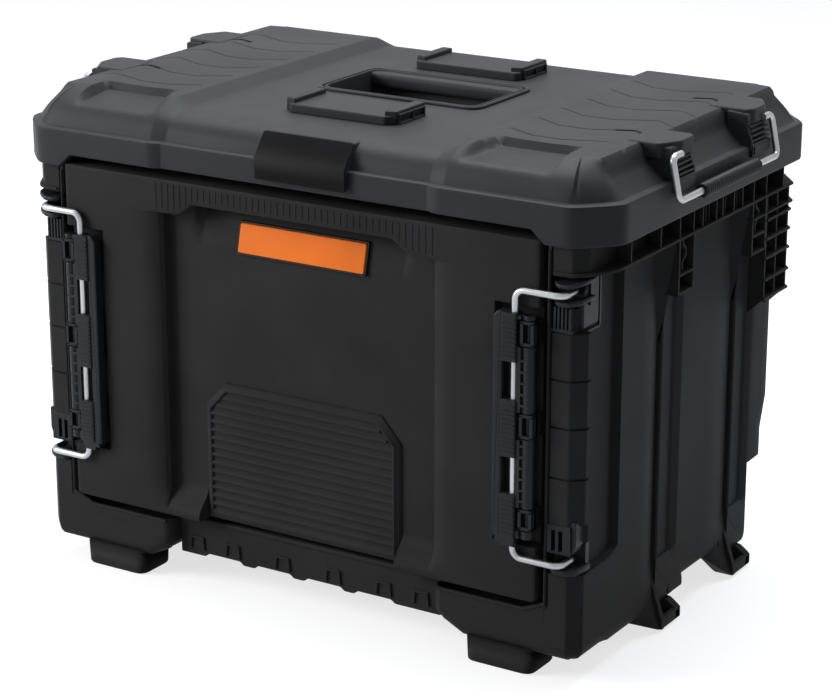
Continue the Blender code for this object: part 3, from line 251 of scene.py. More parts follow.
def finish(name, colour, highlight_colour, rough, grain, metallic=0.0, specular=0.5):
    """A finish from its colour, its painted edge highlight's colour, a roughness range and (scale, depth) of
    grain.
    """
    material = bpy.data.materials.new(name)
    material.use_nodes = True
    tree = material.node_tree
    shader = tree.nodes["Principled BSDF"]
    shader.inputs["Metallic"].default_value = metallic
    shader.inputs["Specular IOR Level"].default_value = specular
    # On the edges the colour turns to the painted highlight colour, as if the edges caught the light
    tint = add_node(tree, "ShaderNodeMix", data_type="RGBA")
    tint.inputs["A"].default_value = (*colour, 1)
    tint.inputs["B"].default_value = (*highlight_colour, 1)
    shade = add_node(tree, "ShaderNodeMix", data_type="RGBA", blend_type="MULTIPLY")
    shade.inputs["Factor"].default_value = 1.0
    bump = add_node(tree, "ShaderNodeBump")
    bump.inputs["Distance"].default_value = grain[1]
    link_up(tree, (place_effect(tree, edge_highlight_group, Amount=EDGE_HIGHLIGHT), tint.inputs["Factor"]),
            (tint.outputs["Result"], shade.inputs["A"]),
            (place_effect(tree, cloud_group, **SHADE_CLOUD), shade.inputs["B"]),
            (shade.outputs["Result"], shader.inputs["Base Color"]),
            (place_effect(tree, cloud_group, Low=rough[0], High=rough[1]), shader.inputs["Roughness"]),
            (place_effect(tree, grain_group, Scale=grain[0]), bump.inputs["Height"]),
            (bump.outputs["Normal"], shader.inputs["Normal"]))
    return material


# The second colour of each finish is its painted edge highlight, the lighter colour its edges take as if lit
shell_plastic = finish("shell_plastic", (0.0265, 0.0266, 0.0274), (0.05, 0.053, 0.058), (0.44, 0.54),
                       (1500, 0.00012), specular=0.025)
lid_plastic = finish("lid_plastic", (0.0225, 0.0232, 0.025), (0.05, 0.054, 0.062), (0.47, 0.57),
                     (1500, 0.00010), specular=0.125)
latch_plastic = finish("latch_plastic", (0.015, 0.016, 0.0175), (0.05, 0.053, 0.06), (0.36, 0.45),
                       (1500, 0.00008), specular=0.14)
orange_plastic = finish("orange_plastic", (0.80, 0.165, 0.012), (0.95, 0.36, 0.12), (0.36, 0.46),
                        (1500, 0.00006), specular=0.12)
badge_satin = finish("badge_satin", (0.007, 0.007, 0.0075), (0.03, 0.03, 0.033), (0.30, 0.38),
                     (900, 0.00004), specular=0.05)
zinc_wire = finish("zinc_wire", (0.40, 0.41, 0.43), (0.55, 0.56, 0.58), (0.30, 0.42),
                   (700, 0.00004), metallic=1.0)
screw_steel = finish("screw_steel", (0.36, 0.36, 0.37), (0.6, 0.6, 0.6), (0.28, 0.42),
                     (600, 0.00004), metallic=1.0)
seal_rubber = finish("seal_rubber", (0.013, 0.013, 0.013), (0.03, 0.03, 0.03), (0.7, 0.85), (2200, 0.0001))
pin_black = finish("pin_black", (0.02, 0.02, 0.021), (0.05, 0.05, 0.052), (0.4, 0.5),
                   (600, 0.00004), specular=0.1)
print("finishes", [m.name for m in (shell_plastic, lid_plastic, latch_plastic, orange_plastic, badge_satin,
                                    zinc_wire, screw_steel, seal_rubber, pin_black)])

# %% [markdown]
# ## Tools for the shapes
# Moulded parts are flat walls with small rounded edges and rows of ribs. Two tools make nearly all of them.
# A skin is a grid of points whose lines run along the features, so a groove is as sharp as its lines. A slab
# is an outline drawn out along an axis, with its rim rounded. Booleans with bevels could do this too, but
# they break on thin ribs, and a list of points is exact.

# %% Lines and steps


def stations(marks, step):
    """Sorted lines through every mark, with more between where a gap is wider than the step."""
    marks = sorted(set(round(float(m), 3) for m in marks))
    lines = [marks[0]]
    for low, high in zip(marks, marks[1:]):
        count = max(1, ceil((high - low) / step - 1e-6))
        lines += [low + (high - low) * k / count for k in range(1, count + 1)]
    return np.array(lines)


def both(marks):
    """The marks on both sides of the middle."""
    return [sign * mark for sign in (-1, 1) for mark in marks]


def ramp(value, low, high):
    """0 at low, 1 at high, straight between."""
    return np.clip((np.asarray(value, float) - low) / (high - low), 0, 1)


def ease(value, low, high):
    """0 at low, 1 at high, with a soft start and end."""
    t = ramp(value, low, high)
    return t * t * (3 - 2 * t)


print("a ramp and an ease, a quarter of the way:", float(ramp(1, 0, 4)), float(ease(1, 0, 4)))

# %% Skins


class Mould:
    """Points and faces of one piece, in millimetres."""

    def __init__(self):
        self.points, self.faces = [], []

    def add(self, points, faces):
        base = len(self.points)
        self.points += [tuple(p) for p in points]
        self.faces += [tuple(base + i for i in face) for face in faces]

    def skin(self, surface, loop=False, keep=None):
        """A grid of points (rows, columns, 3); loop joins the last column to the first."""
        rows, columns = surface.shape[:2]
        faces = []
        for i in range(rows - 1):
            here, beyond = i * columns, (i + 1) * columns
            for j in range(columns if loop else columns - 1):
                if keep is None or keep[i, j]:
                    k = (j + 1) % columns
                    faces.append((here + j, here + k, beyond + k, beyond + j))
        self.add(surface.reshape(-1, 3), faces)

    def mirror(self):
        """The same piece on the other side of the middle too."""
        base = len(self.points)
        self.points += [(-x, y, z) for x, y, z in self.points]
        self.faces += [tuple(base + i for i in reversed(face)) for face in list(self.faces)]


print("an empty mould has", len(Mould().points), "points")

# %% Outlines
# How much of an edge a corner's arc may take, how much of a slab its rims, and the sharpest mitre
ARC_SHARE, RIM_SHARE, SHARPEST = 0.49, 0.45, 0.45


def oblong(a, b):
    """Corners of a straight outline between two (low, high) pairs."""
    return [(a[0], b[0]), (a[1], b[0]), (a[1], b[1]), (a[0], b[1])]


def handed(outline, sign):
    """The outline on the left (-1) or the right (1) of the chest."""
    return [(sign * a, b) for a, b in outline]


def reach(sign, a, b):
    """Low and high of a span on the left (-1) or the right (1)."""
    return sorted((sign * a, sign * b))


def rounded(outline, radius, steps=3):
    """The outline with its corners turned on arcs; radius may be one number or one for each corner."""
    count = len(outline)
    radii = radius if hasattr(radius, "__len__") else [radius] * count
    points = []
    for k in range(count):
        before, corner, after = (np.array(outline[(k + o) % count], float) for o in (-1, 0, 1))
        into, out = before - corner, after - corner
        room = min(radii[k], ARC_SHARE * np.linalg.norm(into), ARC_SHARE * np.linalg.norm(out))
        if room < 1e-6:
            points.append(tuple(corner))
            continue
        start = corner + into / np.linalg.norm(into) * room
        end = corner + out / np.linalg.norm(out) * room
        for t in np.linspace(0, 1, steps + 1):
            points.append(tuple((1 - t) ** 2 * start + 2 * t * (1 - t) * corner + t * t * end))
    return points


def rounded_box(x, y, radius):
    return rounded(oblong(x, y), radius, 4)


def runs_left(pts):
    """True where an outline runs counter-clockwise."""
    return np.sum(pts[:, 0] * np.roll(pts[:, 1], -1) - np.roll(pts[:, 0], -1) * pts[:, 1]) > 0


def inset(outline, amount):
    """The outline moved inwards, each corner along its mitre."""
    pts = np.array(outline, float)
    after = np.roll(pts, -1, 0) - pts
    after /= np.maximum(np.linalg.norm(after, axis=1), 1e-9)[:, None]
    before = np.roll(after, 1, 0)
    side = 1 if runs_left(pts) else -1
    normal = side * (np.stack([-after[:, 1], after[:, 0]], 1) + np.stack([-before[:, 1], before[:, 0]], 1))
    long = np.linalg.norm(normal, axis=1)
    normal /= np.maximum(long, 1e-9)[:, None]
    stretch = 1 / np.clip(long / 2, SHARPEST, 1)
    return pts + normal * (amount * stretch)[:, None]


print("a square with round corners has", len(rounded(oblong((0, 1), (0, 1)), 0.2)), "points")

# %% Slabs and bars
AXES = {"x": lambda a, b, h: (h, a, b), "y": lambda a, b, h: (a, h, b), "z": lambda a, b, h: (a, b, h)}


def slab(mould, outline, axis, low, high, soft, arcs=1, place=None):
    """An outline drawn out from low to high with its two rims rounded by soft, in arcs steps."""
    pts = np.array(outline, float)
    if runs_left(pts) == (axis == "y"):
        pts = pts[::-1]
    soft = min(soft, RIM_SHARE * (high - low))
    turns = [pi / 2 * k / arcs for k in range(arcs + 1)]
    levels = [(turn, low + soft * (1 - cos(turn))) for turn in turns]
    levels += [(turn, high - soft * (1 - cos(turn))) for turn in turns[::-1]]
    rings = []
    for turn, height in levels:
        rings.append([AXES[axis](a, b, height) for a, b in inset(pts, soft * (1 - sin(turn)))])
    count = len(pts)
    points = [p for ring in rings for p in ring]
    faces = [tuple(range(count))[::-1], tuple(range(len(points) - count, len(points)))]
    for r in range(len(rings) - 1):
        here, beyond = r * count, (r + 1) * count
        for i in range(count):
            j = (i + 1) % count
            faces.append((here + i, here + j, beyond + j, beyond + i))
    if place is not None:
        points = [place(*p) for p in points]
    mould.add(points, faces)


def bar(mould, x, y, z, soft, axis="z", arcs=1):
    """A straight block from three (low, high) pairs, drawn out along z or y."""
    a, b, height = (sorted(span) for span in ((x, z, y) if axis == "y" else (x, y, z)))
    slab(mould, oblong(a, b), axis, *height, soft, arcs)


def sided_bar(mould, sign, x, y, z, soft, **more):
    """A bar on the left (-1) or the right (1) of the chest."""
    bar(mould, (sign * x[0], sign * x[1]), y, z, soft, **more)


print("slabs can run along", list(AXES))

# %% Pieces
WELD_GAP = 0.00001


def make_piece(name, mould, material, body, nodes=(), slot="shell", smooth=35, thick=0.0):
    """Turn a mould into a named piece that rides on a body and stands for CAD nodes."""
    mesh = bpy.data.meshes.new(name)
    mesh.from_pydata([(x * MM, y * MM, z * MM) for x, y, z in mould.points], [], mould.faces)
    mesh.validate()
    piece = bpy.data.objects.new(name, mesh)
    scene.collection.objects.link(piece)
    piece.modifiers.new("weld", "WELD").merge_threshold = WELD_GAP
    if thick:
        wall = piece.modifiers.new("wall", "SOLIDIFY")
        wall.thickness = thick * MM
        wall.offset = -1
    mesh.shade_smooth()
    mesh.set_sharp_from_angle(angle=radians(smooth))
    even = piece.modifiers.new("even", "WEIGHTED_NORMAL")
    even.keep_sharp = True
    mesh.materials.append(material)
    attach(piece, body)
    if nodes:
        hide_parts(*nodes)
    print(name, len(mould.points), "points")


print("tools ready")

# %% [markdown]
# ## The lid
# The lid is one moulding: a rim that laps the body, a sloping flank, two raised decks with wavy drain grooves
# and a lower middle with a hand recess. Its flank is a loft of rings from the rim inwards, where each stretch
# of the edge has its own profile, and the top is a grid that joins the last ring. The rows of that grid are
# bent into the wave of the grooves, so every groove is a clean line.

# %% Lid outline and profiles
FRONT, BACK, RIM_X = -189.25, 196.75, 282.5
MID = (FRONT + BACK) / 2
TOP_INSET = 45.0
CORNERS = {"front": 29.0, "back": 35.0}
CROWN_TOP, DECK_TOP = 408.5, 415.5
DECK_FOOT, DECK_EDGE = 126.0, 139.5
MOUTH_X, MOUTH_Y = 75.5, (-29.5, 57)

# Each profile: insets from the rim, and the heights there
LID_PROFILES = {
    "centre_front": ([9.5, 11.2, 13.6, 16.8, 21, 26.5, 33, 39, 45],
                     [387.0, 392.5, 397.0, 400.6, 403.4, 405.8, 407.4, 408.2, 408.5]),
    "deck_front": ([6.6, 8.6, 11.4, 14.8, 19, 24, 31, 38, 45],
                   [387.0, 393.0, 398.4, 402.6, 405.8, 408.6, 411.8, 414.2, 415.5]),
    "corner_front": ([6.6, 9.0, 12.4, 16, 19.6, 24, 30, 37, 45],
                     [387.0, 392.0, 397.0, 401.2, 404.6, 408.2, 411.8, 414.4, 415.5]),
    "side": ([7.0, 10.5, 15, 19, 21.2, 22.6, 24.8, 28, 45],
             [387.0, 390.2, 394.6, 398.6, 400.8, 404.4, 411.6, 414.8, 415.5]),
    "corner_back": ([7.0, 9.6, 13, 17, 21, 26, 32, 38, 45],
                    [387.0, 391.4, 396.2, 400.4, 404.2, 408.2, 411.8, 414.4, 415.5]),
    "deck_back": ([7.0, 9.4, 13, 17.4, 22, 27, 33, 39, 45],
                  [387.0, 392.2, 397.4, 402.0, 405.8, 409.0, 412.0, 414.4, 415.5]),
    "centre_back": ([7.0, 9.4, 13, 17.4, 22, 27, 33, 39, 45],
                    [387.0, 391.4, 395.8, 399.6, 402.6, 405.0, 406.9, 408.0, 408.5]),
    "crease": ([0, 1.4, 2.4, 2.4, 2.4, 2.4, 2.0, 1.2, 0], [0] * 9),
}
# The rim: insets and heights above its foot, then insets and plain heights at its top
RIM_FOOT, RIM_FOOT_STEPS = 354.0, [(12.0, 0), (2.2, 0), (0.7, 0.7), (0.0, 2.2)]
RIM_TOP_STEPS = [(0.0, 384.2), (0.5, 385.7), (1.8, 386.5), (5.8, 386.6)]
print("lid profiles", list(LID_PROFILES))

# %% Grooves, slots and scoops
GROOVES, GROOVE_DEPTH, GROOVE_HALF = [-110.6, -69.6, -29.6, 11.4, 52.4, 93.4], 1.3, 1.25
BAIL_SLOTS, SLOT_DEPTH, SLOT_HALF = (-69.6, 66.0), 4.2, (2.0, 2.6)
DECK_SPAN, SLOT_SPAN = (147, 150, 252, 256), (221, 223, 251, 253)
WAVE, WAVE_FADE = ([128, 150, 176, 202, 236, 258], [0, 15, 0, 0, 15, 0]), (104, 142)
SCOOP_FLOOR = ([-166, -131], [404.8, 409.4])
SCOOP_INNER, SCOOP_OUTER = ([-160, -128], [149.5, 161.0]), (223, 228)
SCOOP_SLANT, SCOOP_WALL = 6, (-130.5, -126.5)


def wave(x, y):
    """How far a drain groove wanders along the deck."""
    return np.interp(np.abs(x), *WAVE) * (1 - ease(np.abs(y - MID), *WAVE_FADE))


def scoop(x, y, z):
    """The stepped notch in the front of each deck: a gentle floor, a back wall and slanted ends."""
    side = np.abs(x)
    floor, inner = np.interp(y, *SCOOP_FLOOR), np.interp(y, *SCOOP_INNER)
    inside = ramp(side, inner - SCOOP_SLANT, inner) * (1 - ramp(side, *SCOOP_OUTER))
    return z - np.maximum(0, z - floor) * inside * (1 - ramp(y, *SCOOP_WALL))


def between(value, span):
    """1 within a span given as (start, full, full, end), 0 outside it, eased."""
    return ease(value, *span[:2]) * (1 - ease(value, *span[2:]))


def deck_cuts(x, y, z):
    """Scoops, drain grooves and bail slots, in the straight frame before the rows are bent."""
    z = scoop(x, y, z)
    on_deck, by_edge = between(np.abs(x), DECK_SPAN), between(np.abs(x), SLOT_SPAN)
    for groove in GROOVES:
        z = z - GROOVE_DEPTH * on_deck * np.clip(1 - np.abs(y - groove) / GROOVE_HALF, 0, 1)
    for slot_y in BAIL_SLOTS:
        z = z - SLOT_DEPTH * by_edge * (1 - ramp(np.abs(y - slot_y), *SLOT_HALF))
    return z


LID_X = stations(both((0, MOUTH_X, *[x + o for x in (DECK_FOOT, DECK_EDGE) for o in (-1.5, 0, 1.5)],
                       144.5, 147, 150, 153, 156, 159, 161, 165, 176, 202, 212, 217, 219, 221,
                       223, 226, 228, 231, 233, RIM_X - TOP_INSET)), 8)
LID_Y = stations([FRONT + TOP_INSET, -141, -134, -131.5, *SCOOP_WALL, -125.5, -122, *MOUTH_Y,
                  BACK - TOP_INSET,
                  *[g + o for g in GROOVES for o in (-GROOVE_HALF, 0, GROOVE_HALF)],
                  *[s + o for s in BAIL_SLOTS for o in both(SLOT_HALF)]], 9)
print("lid lines", len(LID_X), "by", len(LID_Y))

# %% Walk round the lid's edge
# Places along a corner: 0 to 1 on the front or back edge, to 2 on the slanted corner, to 3 on the side
CORNER_STEPS = [0.3, 0.6, 0.84, 0.95, 1.07, 1.2, 1.5, 1.8, 1.93, 2.05, 2.16, 2.4, 2.7]
CORNER_BLEND = np.array([-0.3, -0.15, 0, 0.15, 0.3])
CORNER_MIDDLE, CREASE = 1.5, 0.95


def corner_spot(end, sign, along, d):
    """The point of one corner at an inset d, averaged over its neighbours so that the corner is soft."""
    cut = CORNERS[end] * (1 - d / TOP_INSET) if d < TOP_INSET else 0.0
    outer, way = (FRONT, 1) if end == "front" else (BACK, -1)
    edge = outer + way * d
    path = np.array([(RIM_X - TOP_INSET, edge), (RIM_X - d - cut, edge), (RIM_X - d, edge + way * cut),
                     (RIM_X - d, outer + way * TOP_INSET)])
    x, y = (np.interp(along + CORNER_BLEND, range(4), path[:, k]).mean() for k in (0, 1))
    return sign * x, y


def corner_walk(end, sign):
    """Stations round one corner, from the front or back edge to the side."""
    sweep = []
    for along in CORNER_STEPS:
        spot = partial(corner_spot, end, sign, along)
        corner = 1 - abs(along - CORNER_MIDDLE) / CORNER_MIDDLE
        mix = {"corner_" + end: corner, ("deck_" + end if along < CORNER_MIDDLE else "side"): 1 - corner}
        if end == "front" and along == CREASE:
            mix["crease"] = 1.0
        sweep.append((spot, mix, spot(0)[0] if end == "front" and along < 1 else None))
    return sweep


def straight_spot(x, y, in_x, in_y, d):
    """The point of a straight edge at an inset d; in_x and in_y point inwards."""
    return x + in_x * d, y + in_y * d


def edge_walk():
    """The lid's edge, counter-clockwise: (spot for an inset, mix of profiles, x at the front or None)."""
    front, back, right, left = [], [], [], []
    for x in LID_X:
        deck = float(ramp(abs(x), DECK_FOOT, DECK_EDGE))
        front_mix = {"centre_front": 1 - deck, "deck_front": deck}
        back_mix = {"centre_back": 1 - deck, "deck_back": deck}
        front.append((partial(straight_spot, x, FRONT, 0, 1), front_mix, x))
        back.append((partial(straight_spot, x, BACK, 0, -1), back_mix, None))
    for y in LID_Y:
        right.append((partial(straight_spot, RIM_X, y, -1, 0), {"side": 1.0}, None))
        left.append((partial(straight_spot, -RIM_X, y, 1, 0), {"side": 1.0}, None))
    return [*front, *corner_walk("front", 1), *right, *corner_walk("back", 1)[::-1],
            *back[::-1], *corner_walk("back", -1), *left[::-1], *corner_walk("front", -1)[::-1]]


print("stations round the lid", len(edge_walk()))

# %% Lid skin
FRONT_RISE, RISE_FADE = 10.5, (219, 231)
FRONT_JOG, JOG_FADE = 3.4, (129.5, 134)
LID_WALL = 2.6


def lid_rings():
    """Rings from inside the rim up to the top's edge; at the front the rim is raised and set back."""
    walk = edge_walk()
    steps = len(LID_PROFILES["side"][0])
    rings = np.zeros((len(RIM_FOOT_STEPS) + len(RIM_TOP_STEPS) + steps, len(walk), 3))
    for j, (spot, mix, x_front) in enumerate(walk):
        foot, jog = RIM_FOOT, 0.0
        if x_front is not None:
            foot = RIM_FOOT + FRONT_RISE * (1 - float(ramp(abs(x_front), *RISE_FADE)))
            jog = FRONT_JOG * (1 - float(ease(abs(x_front), *JOG_FADE)))
        rim = [(d, foot + z) for d, z in RIM_FOOT_STEPS] + RIM_TOP_STEPS
        for k, (d, z) in enumerate(rim):
            rings[k, j] = (*spot(d + (jog if k else 0)), z)
        for k in range(steps):
            d, z = (sum(share * LID_PROFILES[name][part][k] for name, share in mix.items())
                    for part in (0, 1))
            x, y = spot(d)
            rings[len(rim) + k, j] = (x, y, float(deck_cuts(x, y, z)))
    rings[:, :, 1] += wave(rings[:, :, 0], rings[:, :, 1])
    return rings


lid_mould = Mould()
lid_mould.skin(lid_rings(), loop=True)
xs, ys = np.meshgrid(LID_X, LID_Y)
tops = CROWN_TOP + (DECK_TOP - CROWN_TOP) * ramp(np.abs(xs), DECK_FOOT, DECK_EDGE)
tops = deck_cuts(xs, ys, tops)
middle_x, middle_y = (LID_X[1:] + LID_X[:-1]) / 2, (LID_Y[1:] + LID_Y[:-1]) / 2
mouth_rows = (middle_y > MOUTH_Y[0]) & (middle_y < MOUTH_Y[1])
solid = ~((np.abs(middle_x)[None, :] < MOUTH_X) & mouth_rows[:, None])
lid_mould.skin(np.stack([xs, ys + wave(xs, ys), tops], 2), keep=solid)
make_piece("lid_skin", lid_mould, lid_plastic, "chest", ["lid"], thick=LID_WALL)

# %% [markdown]
# ## Fittings on the lid
# The hand recess is a tub with a raised border and a round carry bar across its back, so the bar can be
# gripped. Two cleats hold the next chest, and a bare badge is bent over the rim's edge at the front. Each is
# made of rings or small slabs sunk a little into the skin, as ribs are in a real mould.

# %% Hand recess and carry bar
RECESS_X, RECESS_Y, TUB_WALL = 75, (-28.75, 56.25), 1.5
# Rings of the tub: growth of its outline, height, corner radius
TUB_RINGS = ((5.8, 407.8, 14), (5.8, 409.9, 14), (5.0, 410.9, 13), (3.0, 410.9, 12), (2.2, 408.6, 12),
             (1.4, 408.6, 12), (0.7, 410.7, 12), (-0.4, 410.6, 12), (-1.2, 408.9, 12),
             (-2.2, 390.0, 11), (-4.5, 384.0, 10), (-9.0, 382.5, 8))
tub = Mould()
tub_rings = []
for grow, z, radius in TUB_RINGS:
    span_y = (RECESS_Y[0] - grow, RECESS_Y[1] + grow)
    tub_rings.append([(x, y, z) for x, y in rounded_box((-RECESS_X - grow, RECESS_X + grow), span_y, radius)])
tub.skin(np.array(tub_rings), loop=True)
tub.add(tub_rings[-1], [tuple(range(len(tub_rings[-1])))])
make_piece("recess_tub", tub, lid_plastic, "chest", thick=TUB_WALL)

CARRY_X, CARRY_Y, CARRY_Z = 74.5, (45.0, 56.5), (397, 409.6)
carry = Mould()
slab(carry, rounded(oblong(CARRY_Y, CARRY_Z), [4, 1, 2, 5], 4), "x", -CARRY_X, CARRY_X, 0.6)
for x in (-50, -25, 0, 25, 50):
    bar(carry, (x - 1, x + 1), (56, 62), (396, 408.2), 0.4)
make_piece("carry_bar", carry, lid_plastic, "chest")

# %% Cleats
CLEAT_X, CLEAT_Z, RIDGE_Z = 52, (408.0, 415.8), (412, 419.6)


def cleat(name, y0, y1, cut, node):
    """A plate with cut front corners, a ridge along each end and a small ladder of ribs outside it."""
    mould = Mould()
    plan = [(-CLEAT_X, y0 + cut), (cut - CLEAT_X, y0), (CLEAT_X - cut, y0), (CLEAT_X, y0 + cut),
            (CLEAT_X, y1), (-CLEAT_X, y1)]
    slab(mould, rounded(plan, 2), "z", *CLEAT_Z, 1.4, 3)
    for sign in (-1, 1):
        ridge = handed([(43, y0 + 3), (52.9, y0 + 6), (52.9, y1 - 1), (43, y1 - 1)], sign)
        slab(mould, rounded(ridge, 1.2), "z", *RIDGE_Z, 1.2, 3)
        outside = (sign * CLEAT_X, sign * 54.2)
        for rung in ((408.2, 410.2), (415.2, 417.0)):
            bar(mould, outside, (y0 + 8, y1 - 3), rung, 0.5)
        for y in (y0 + 9, (y0 + y1) / 2 + 4, y1 - 4):
            bar(mould, outside, (y - 1, y + 1), (409, 416.6), 0.4)
    make_piece(name, mould, lid_plastic, "chest", [node])


cleat("front_cleat_block", -117.75, -67.75, 7, "front_cleat")
cleat("rear_cleat_block", 82.25, 132.25, 3, "rear_cleat")

# %% Badge
BEND_Z, BADGE_LEAN, BADGE_NARROW = 388.5, 0.95, 0.1
BADGE_X, BADGE_Z = (-30.5, 55.0), (370.5, 406.5)


def badge_place(x, y, z):
    """Above the rim the face leans back with the slope."""
    above = max(0.0, z - BEND_Z)
    return x - BADGE_NARROW * above, y + BADGE_LEAN * above, z


def bent_plate(name, outline, front, back, soft, *looks, **more):
    """A plate on the rim and the slope: its face is two flats that meet at the rim's top edge."""
    mould = Mould()
    turned = list(outline)[::-1]
    rings = [[badge_place(x, y, z) for x, z in inset(turned, amount)]
             for amount, y in ((soft, front), (0, front + soft), (0, back))]
    mould.skin(np.array(rings), loop=True)
    on_rim = [p for p in rings[0] if p[2] <= BEND_Z + 0.01]
    on_slope = [p for p in rings[0] if p[2] >= BEND_Z - 0.01]
    for flat in (on_rim, on_slope):
        mould.add(flat, [tuple(range(len(flat)))[::-1]])
    make_piece(name, mould, *looks, **more)


lower, upper = oblong(BADGE_X, (BADGE_Z[0], BEND_Z)), oblong(BADGE_X, (BEND_Z, BADGE_Z[1]))
face = rounded([*lower[:3], *upper[2:], upper[0]], [1.5, 1.5, 0, 2.5, 2.5, 0])
bent_plate("badge_block", face, -190.8, -189.2, 0.5, badge_satin, "chest", ["badge_plate"], slot="badge")
bent_plate("badge_boss", inset(face, 0.7), -189.6, -180.0, 0.3, lid_plastic, "chest")

# %% [markdown]
# ## Bail mounts
# Each side of the lid carries a wire bail for lifting. Its stubs turn in two mounts: a hood on the deck's
# edge, a pocket of level fins under it and a plain cheek below. They could be cut into the lid's grid, but
# fins this thin are cleaner as bars of their own. The fins are what catches the light beside the wire.

# %% Bail mounts
MOUNTS = ((55.75, 1), (-48.25, -1))
ARM_REACH = 33
CHEEK = [(262, 386), (283.6, 383), (284.6, 391), (280, 402), (275, 413), (262, 414)]


def bail_mount(mould, sign, near, way):
    """One mount from its inner end along y; way is the side its arm lies on."""
    lip = near + way * (2 if way > 0 else -8)
    hood = [(243, lip), (277, lip), (282, lip + way * 6), (282, lip + way * 26), (271, lip + way * 45),
            (243, lip + way * 45)]
    slab(mould, handed(rounded(hood, 2.5), sign), "z", 403.5, 415.9, 1.6, 3)
    slab(mould, handed(rounded(CHEEK, 1.5), sign), "y", near - 1.4, near + 1.4, 0.6)
    block = partial(sided_bar, mould, sign)
    y0, y1 = sorted((near, near + way * ARM_REACH))
    block((262, 279.6), (y0, y1), (388.0, 412.6), 1.0)
    for z in (390.5, 394.3, 398.1, 401.9, 405.7):
        fin = 284.6 - 0.32 * max(0, z - 392)
        block((270, fin), (y0 + 1, y1 - 1), (z - 0.8, z + 0.8), 0.4)
    block((278, 285.0), (y0, y1), (377.0, 388.2), 1.0)
    block((282, 286.0), (y0 + 2.4, y1 - 2.4), (379.0, 386.2), 0.8)


mounts = Mould()
for _, sign in SIDES:
    for near, way in MOUNTS:
        bail_mount(mounts, sign, near, way)
make_piece("bail_mounts", mounts, lid_plastic, "chest")

# %% [markdown]
# ## The body
# The body is a deep tub: latch posts at the front, a valley behind each post, rounded columns and raised
# strips down the sides, and a stiff collar of ribs under the lid. Its skin is one loft. Each station on the
# plan outline runs up the outside, over the top flange and down the inside to the floor, and the outside is
# pushed in or out by a relief that is written in plain distances along the side.

# %% Body outline
POST_FRONT, BODY_X, BODY_BACK, POST_X = -183.25, 262.0, 188.75, 231.0
BAY_FACE, BAY_BACK = -156.25, -150.25
BODY_LOW, BASE_TOP, BODY_TOP = 18.0, 50.0, 362.0
WIRE_HEIGHTS = (104.1, 317.6)
STRIPS = ((-50.25, -25.75), (84.05, 108.55))
# The lower edge's height along the side and along the base, and the back corner's cut by height
FOOT_LINE = ([-190, -14.8, -14.2, 70.0, 70.6, 200], [18, 18, 29, 29, 18, 18])
BASE_SLANT = ([136, 157], [28.5, BODY_LOW])
CORNER_CUTS = ([0, 91.2, 92.0, 117, 145, 400], [68, 68, 43, 43, 33, 33])
TURN_Y, TURN_X = 118.0, 192.0
POST_RINGS = (170, 211, 249)


def body_walk(cut):
    """Right half of the plan, (x, y, normal x, normal y), from the bay to the back; cut is the corner's."""
    walk = [(POST_X, y, -1, 0) for y in (BAY_FACE, -168, -175, -179.5, -181.6)]
    walk.append((POST_X + 0.6, -182.8, -0.7, -0.7))
    walk += [(x, POST_FRONT, 0, -1) for x in (232.4, 234.2, 234.9, 236.2, 240, 244, 248, 251)]
    for share in (0.0, 0.12, 0.5, 0.88, 1.0):
        nx = np.interp(share, [0, 0.12, 0.88, 1], [0.4, 0.7, 0.7, 0.9])
        walk.append((252.4 + 9.4 * share, -182.9 + 9.4 * share, nx, -(1 - nx * nx) ** 0.5))
    marks = [-171.5, -168.2, -166.6, -136, -125, -124, -119.4, -118, -110.6, -110.0, -100, -92,
             -14.8, -14.2, 70.0, 70.6, STRIPS[0][1] + 12, TURN_Y]
    for start, end in STRIPS:
        marks += [start + o for o in (-33, -24, -16.5, -12, -2.6, -2.5, -0.1, 0, 1.4, 4)]
        marks += [end + o for o in (-4, -1.4, 0, 0.1, 2.5, 2.6)]
    walk += [(BODY_X, y, 1, 0) for y in stations(marks, 12)]
    turn = [(BODY_X, TURN_Y), (BODY_X, BODY_BACK - cut), (BODY_X - cut, BODY_BACK), (TURN_X, BODY_BACK)]
    for (x0, y0), (x1, y1), normal in zip(turn, turn[1:], ((1, 0), (0.707, 0.707), (0, 1))):
        walk += [(x0 + (x1 - x0) * t, y0 + (y1 - y0) * t, *normal) for t in (0.08, 0.35, 0.65, 0.92)]
    return walk + [(x, BODY_BACK, 0, 1) for x in stations([TURN_X, 176, 150, 100, 60, 0], 14)[::-1]]


# Below its top the base runs in front of the bay, with a rounded end
BASE_END = [(130, BAY_FACE, -1, 0), (130, -170, -1, 0), (130.4, -175.5, -0.97, -0.25),
            (132, -179.6, -0.8, -0.6), (134.8, -182.3, -0.5, -0.87), (138.5, POST_FRONT, 0, -1),
            (157, POST_FRONT, 0, -1)]
BODY_Z = stations([BODY_LOW, 32, 44, BASE_TOP, 60, 63, 66, 88, 91.2, 92, 93.5, 97, 100, 116.2, 117, 129,
                   131.5, 132.4, 145, 286, 287, 304.8, 305.6, 322, 326, 328.5, 329.7, 330.6, 331.2, 336,
                   343, 357, 360.5,
                   *[z + o for z in POST_RINGS for o in (-1.1, -0.5, 0.5, 1.1)]], 14)
print("body heights", len(BODY_Z), "stations", len(body_walk(CORNER_CUTS[1][0])))

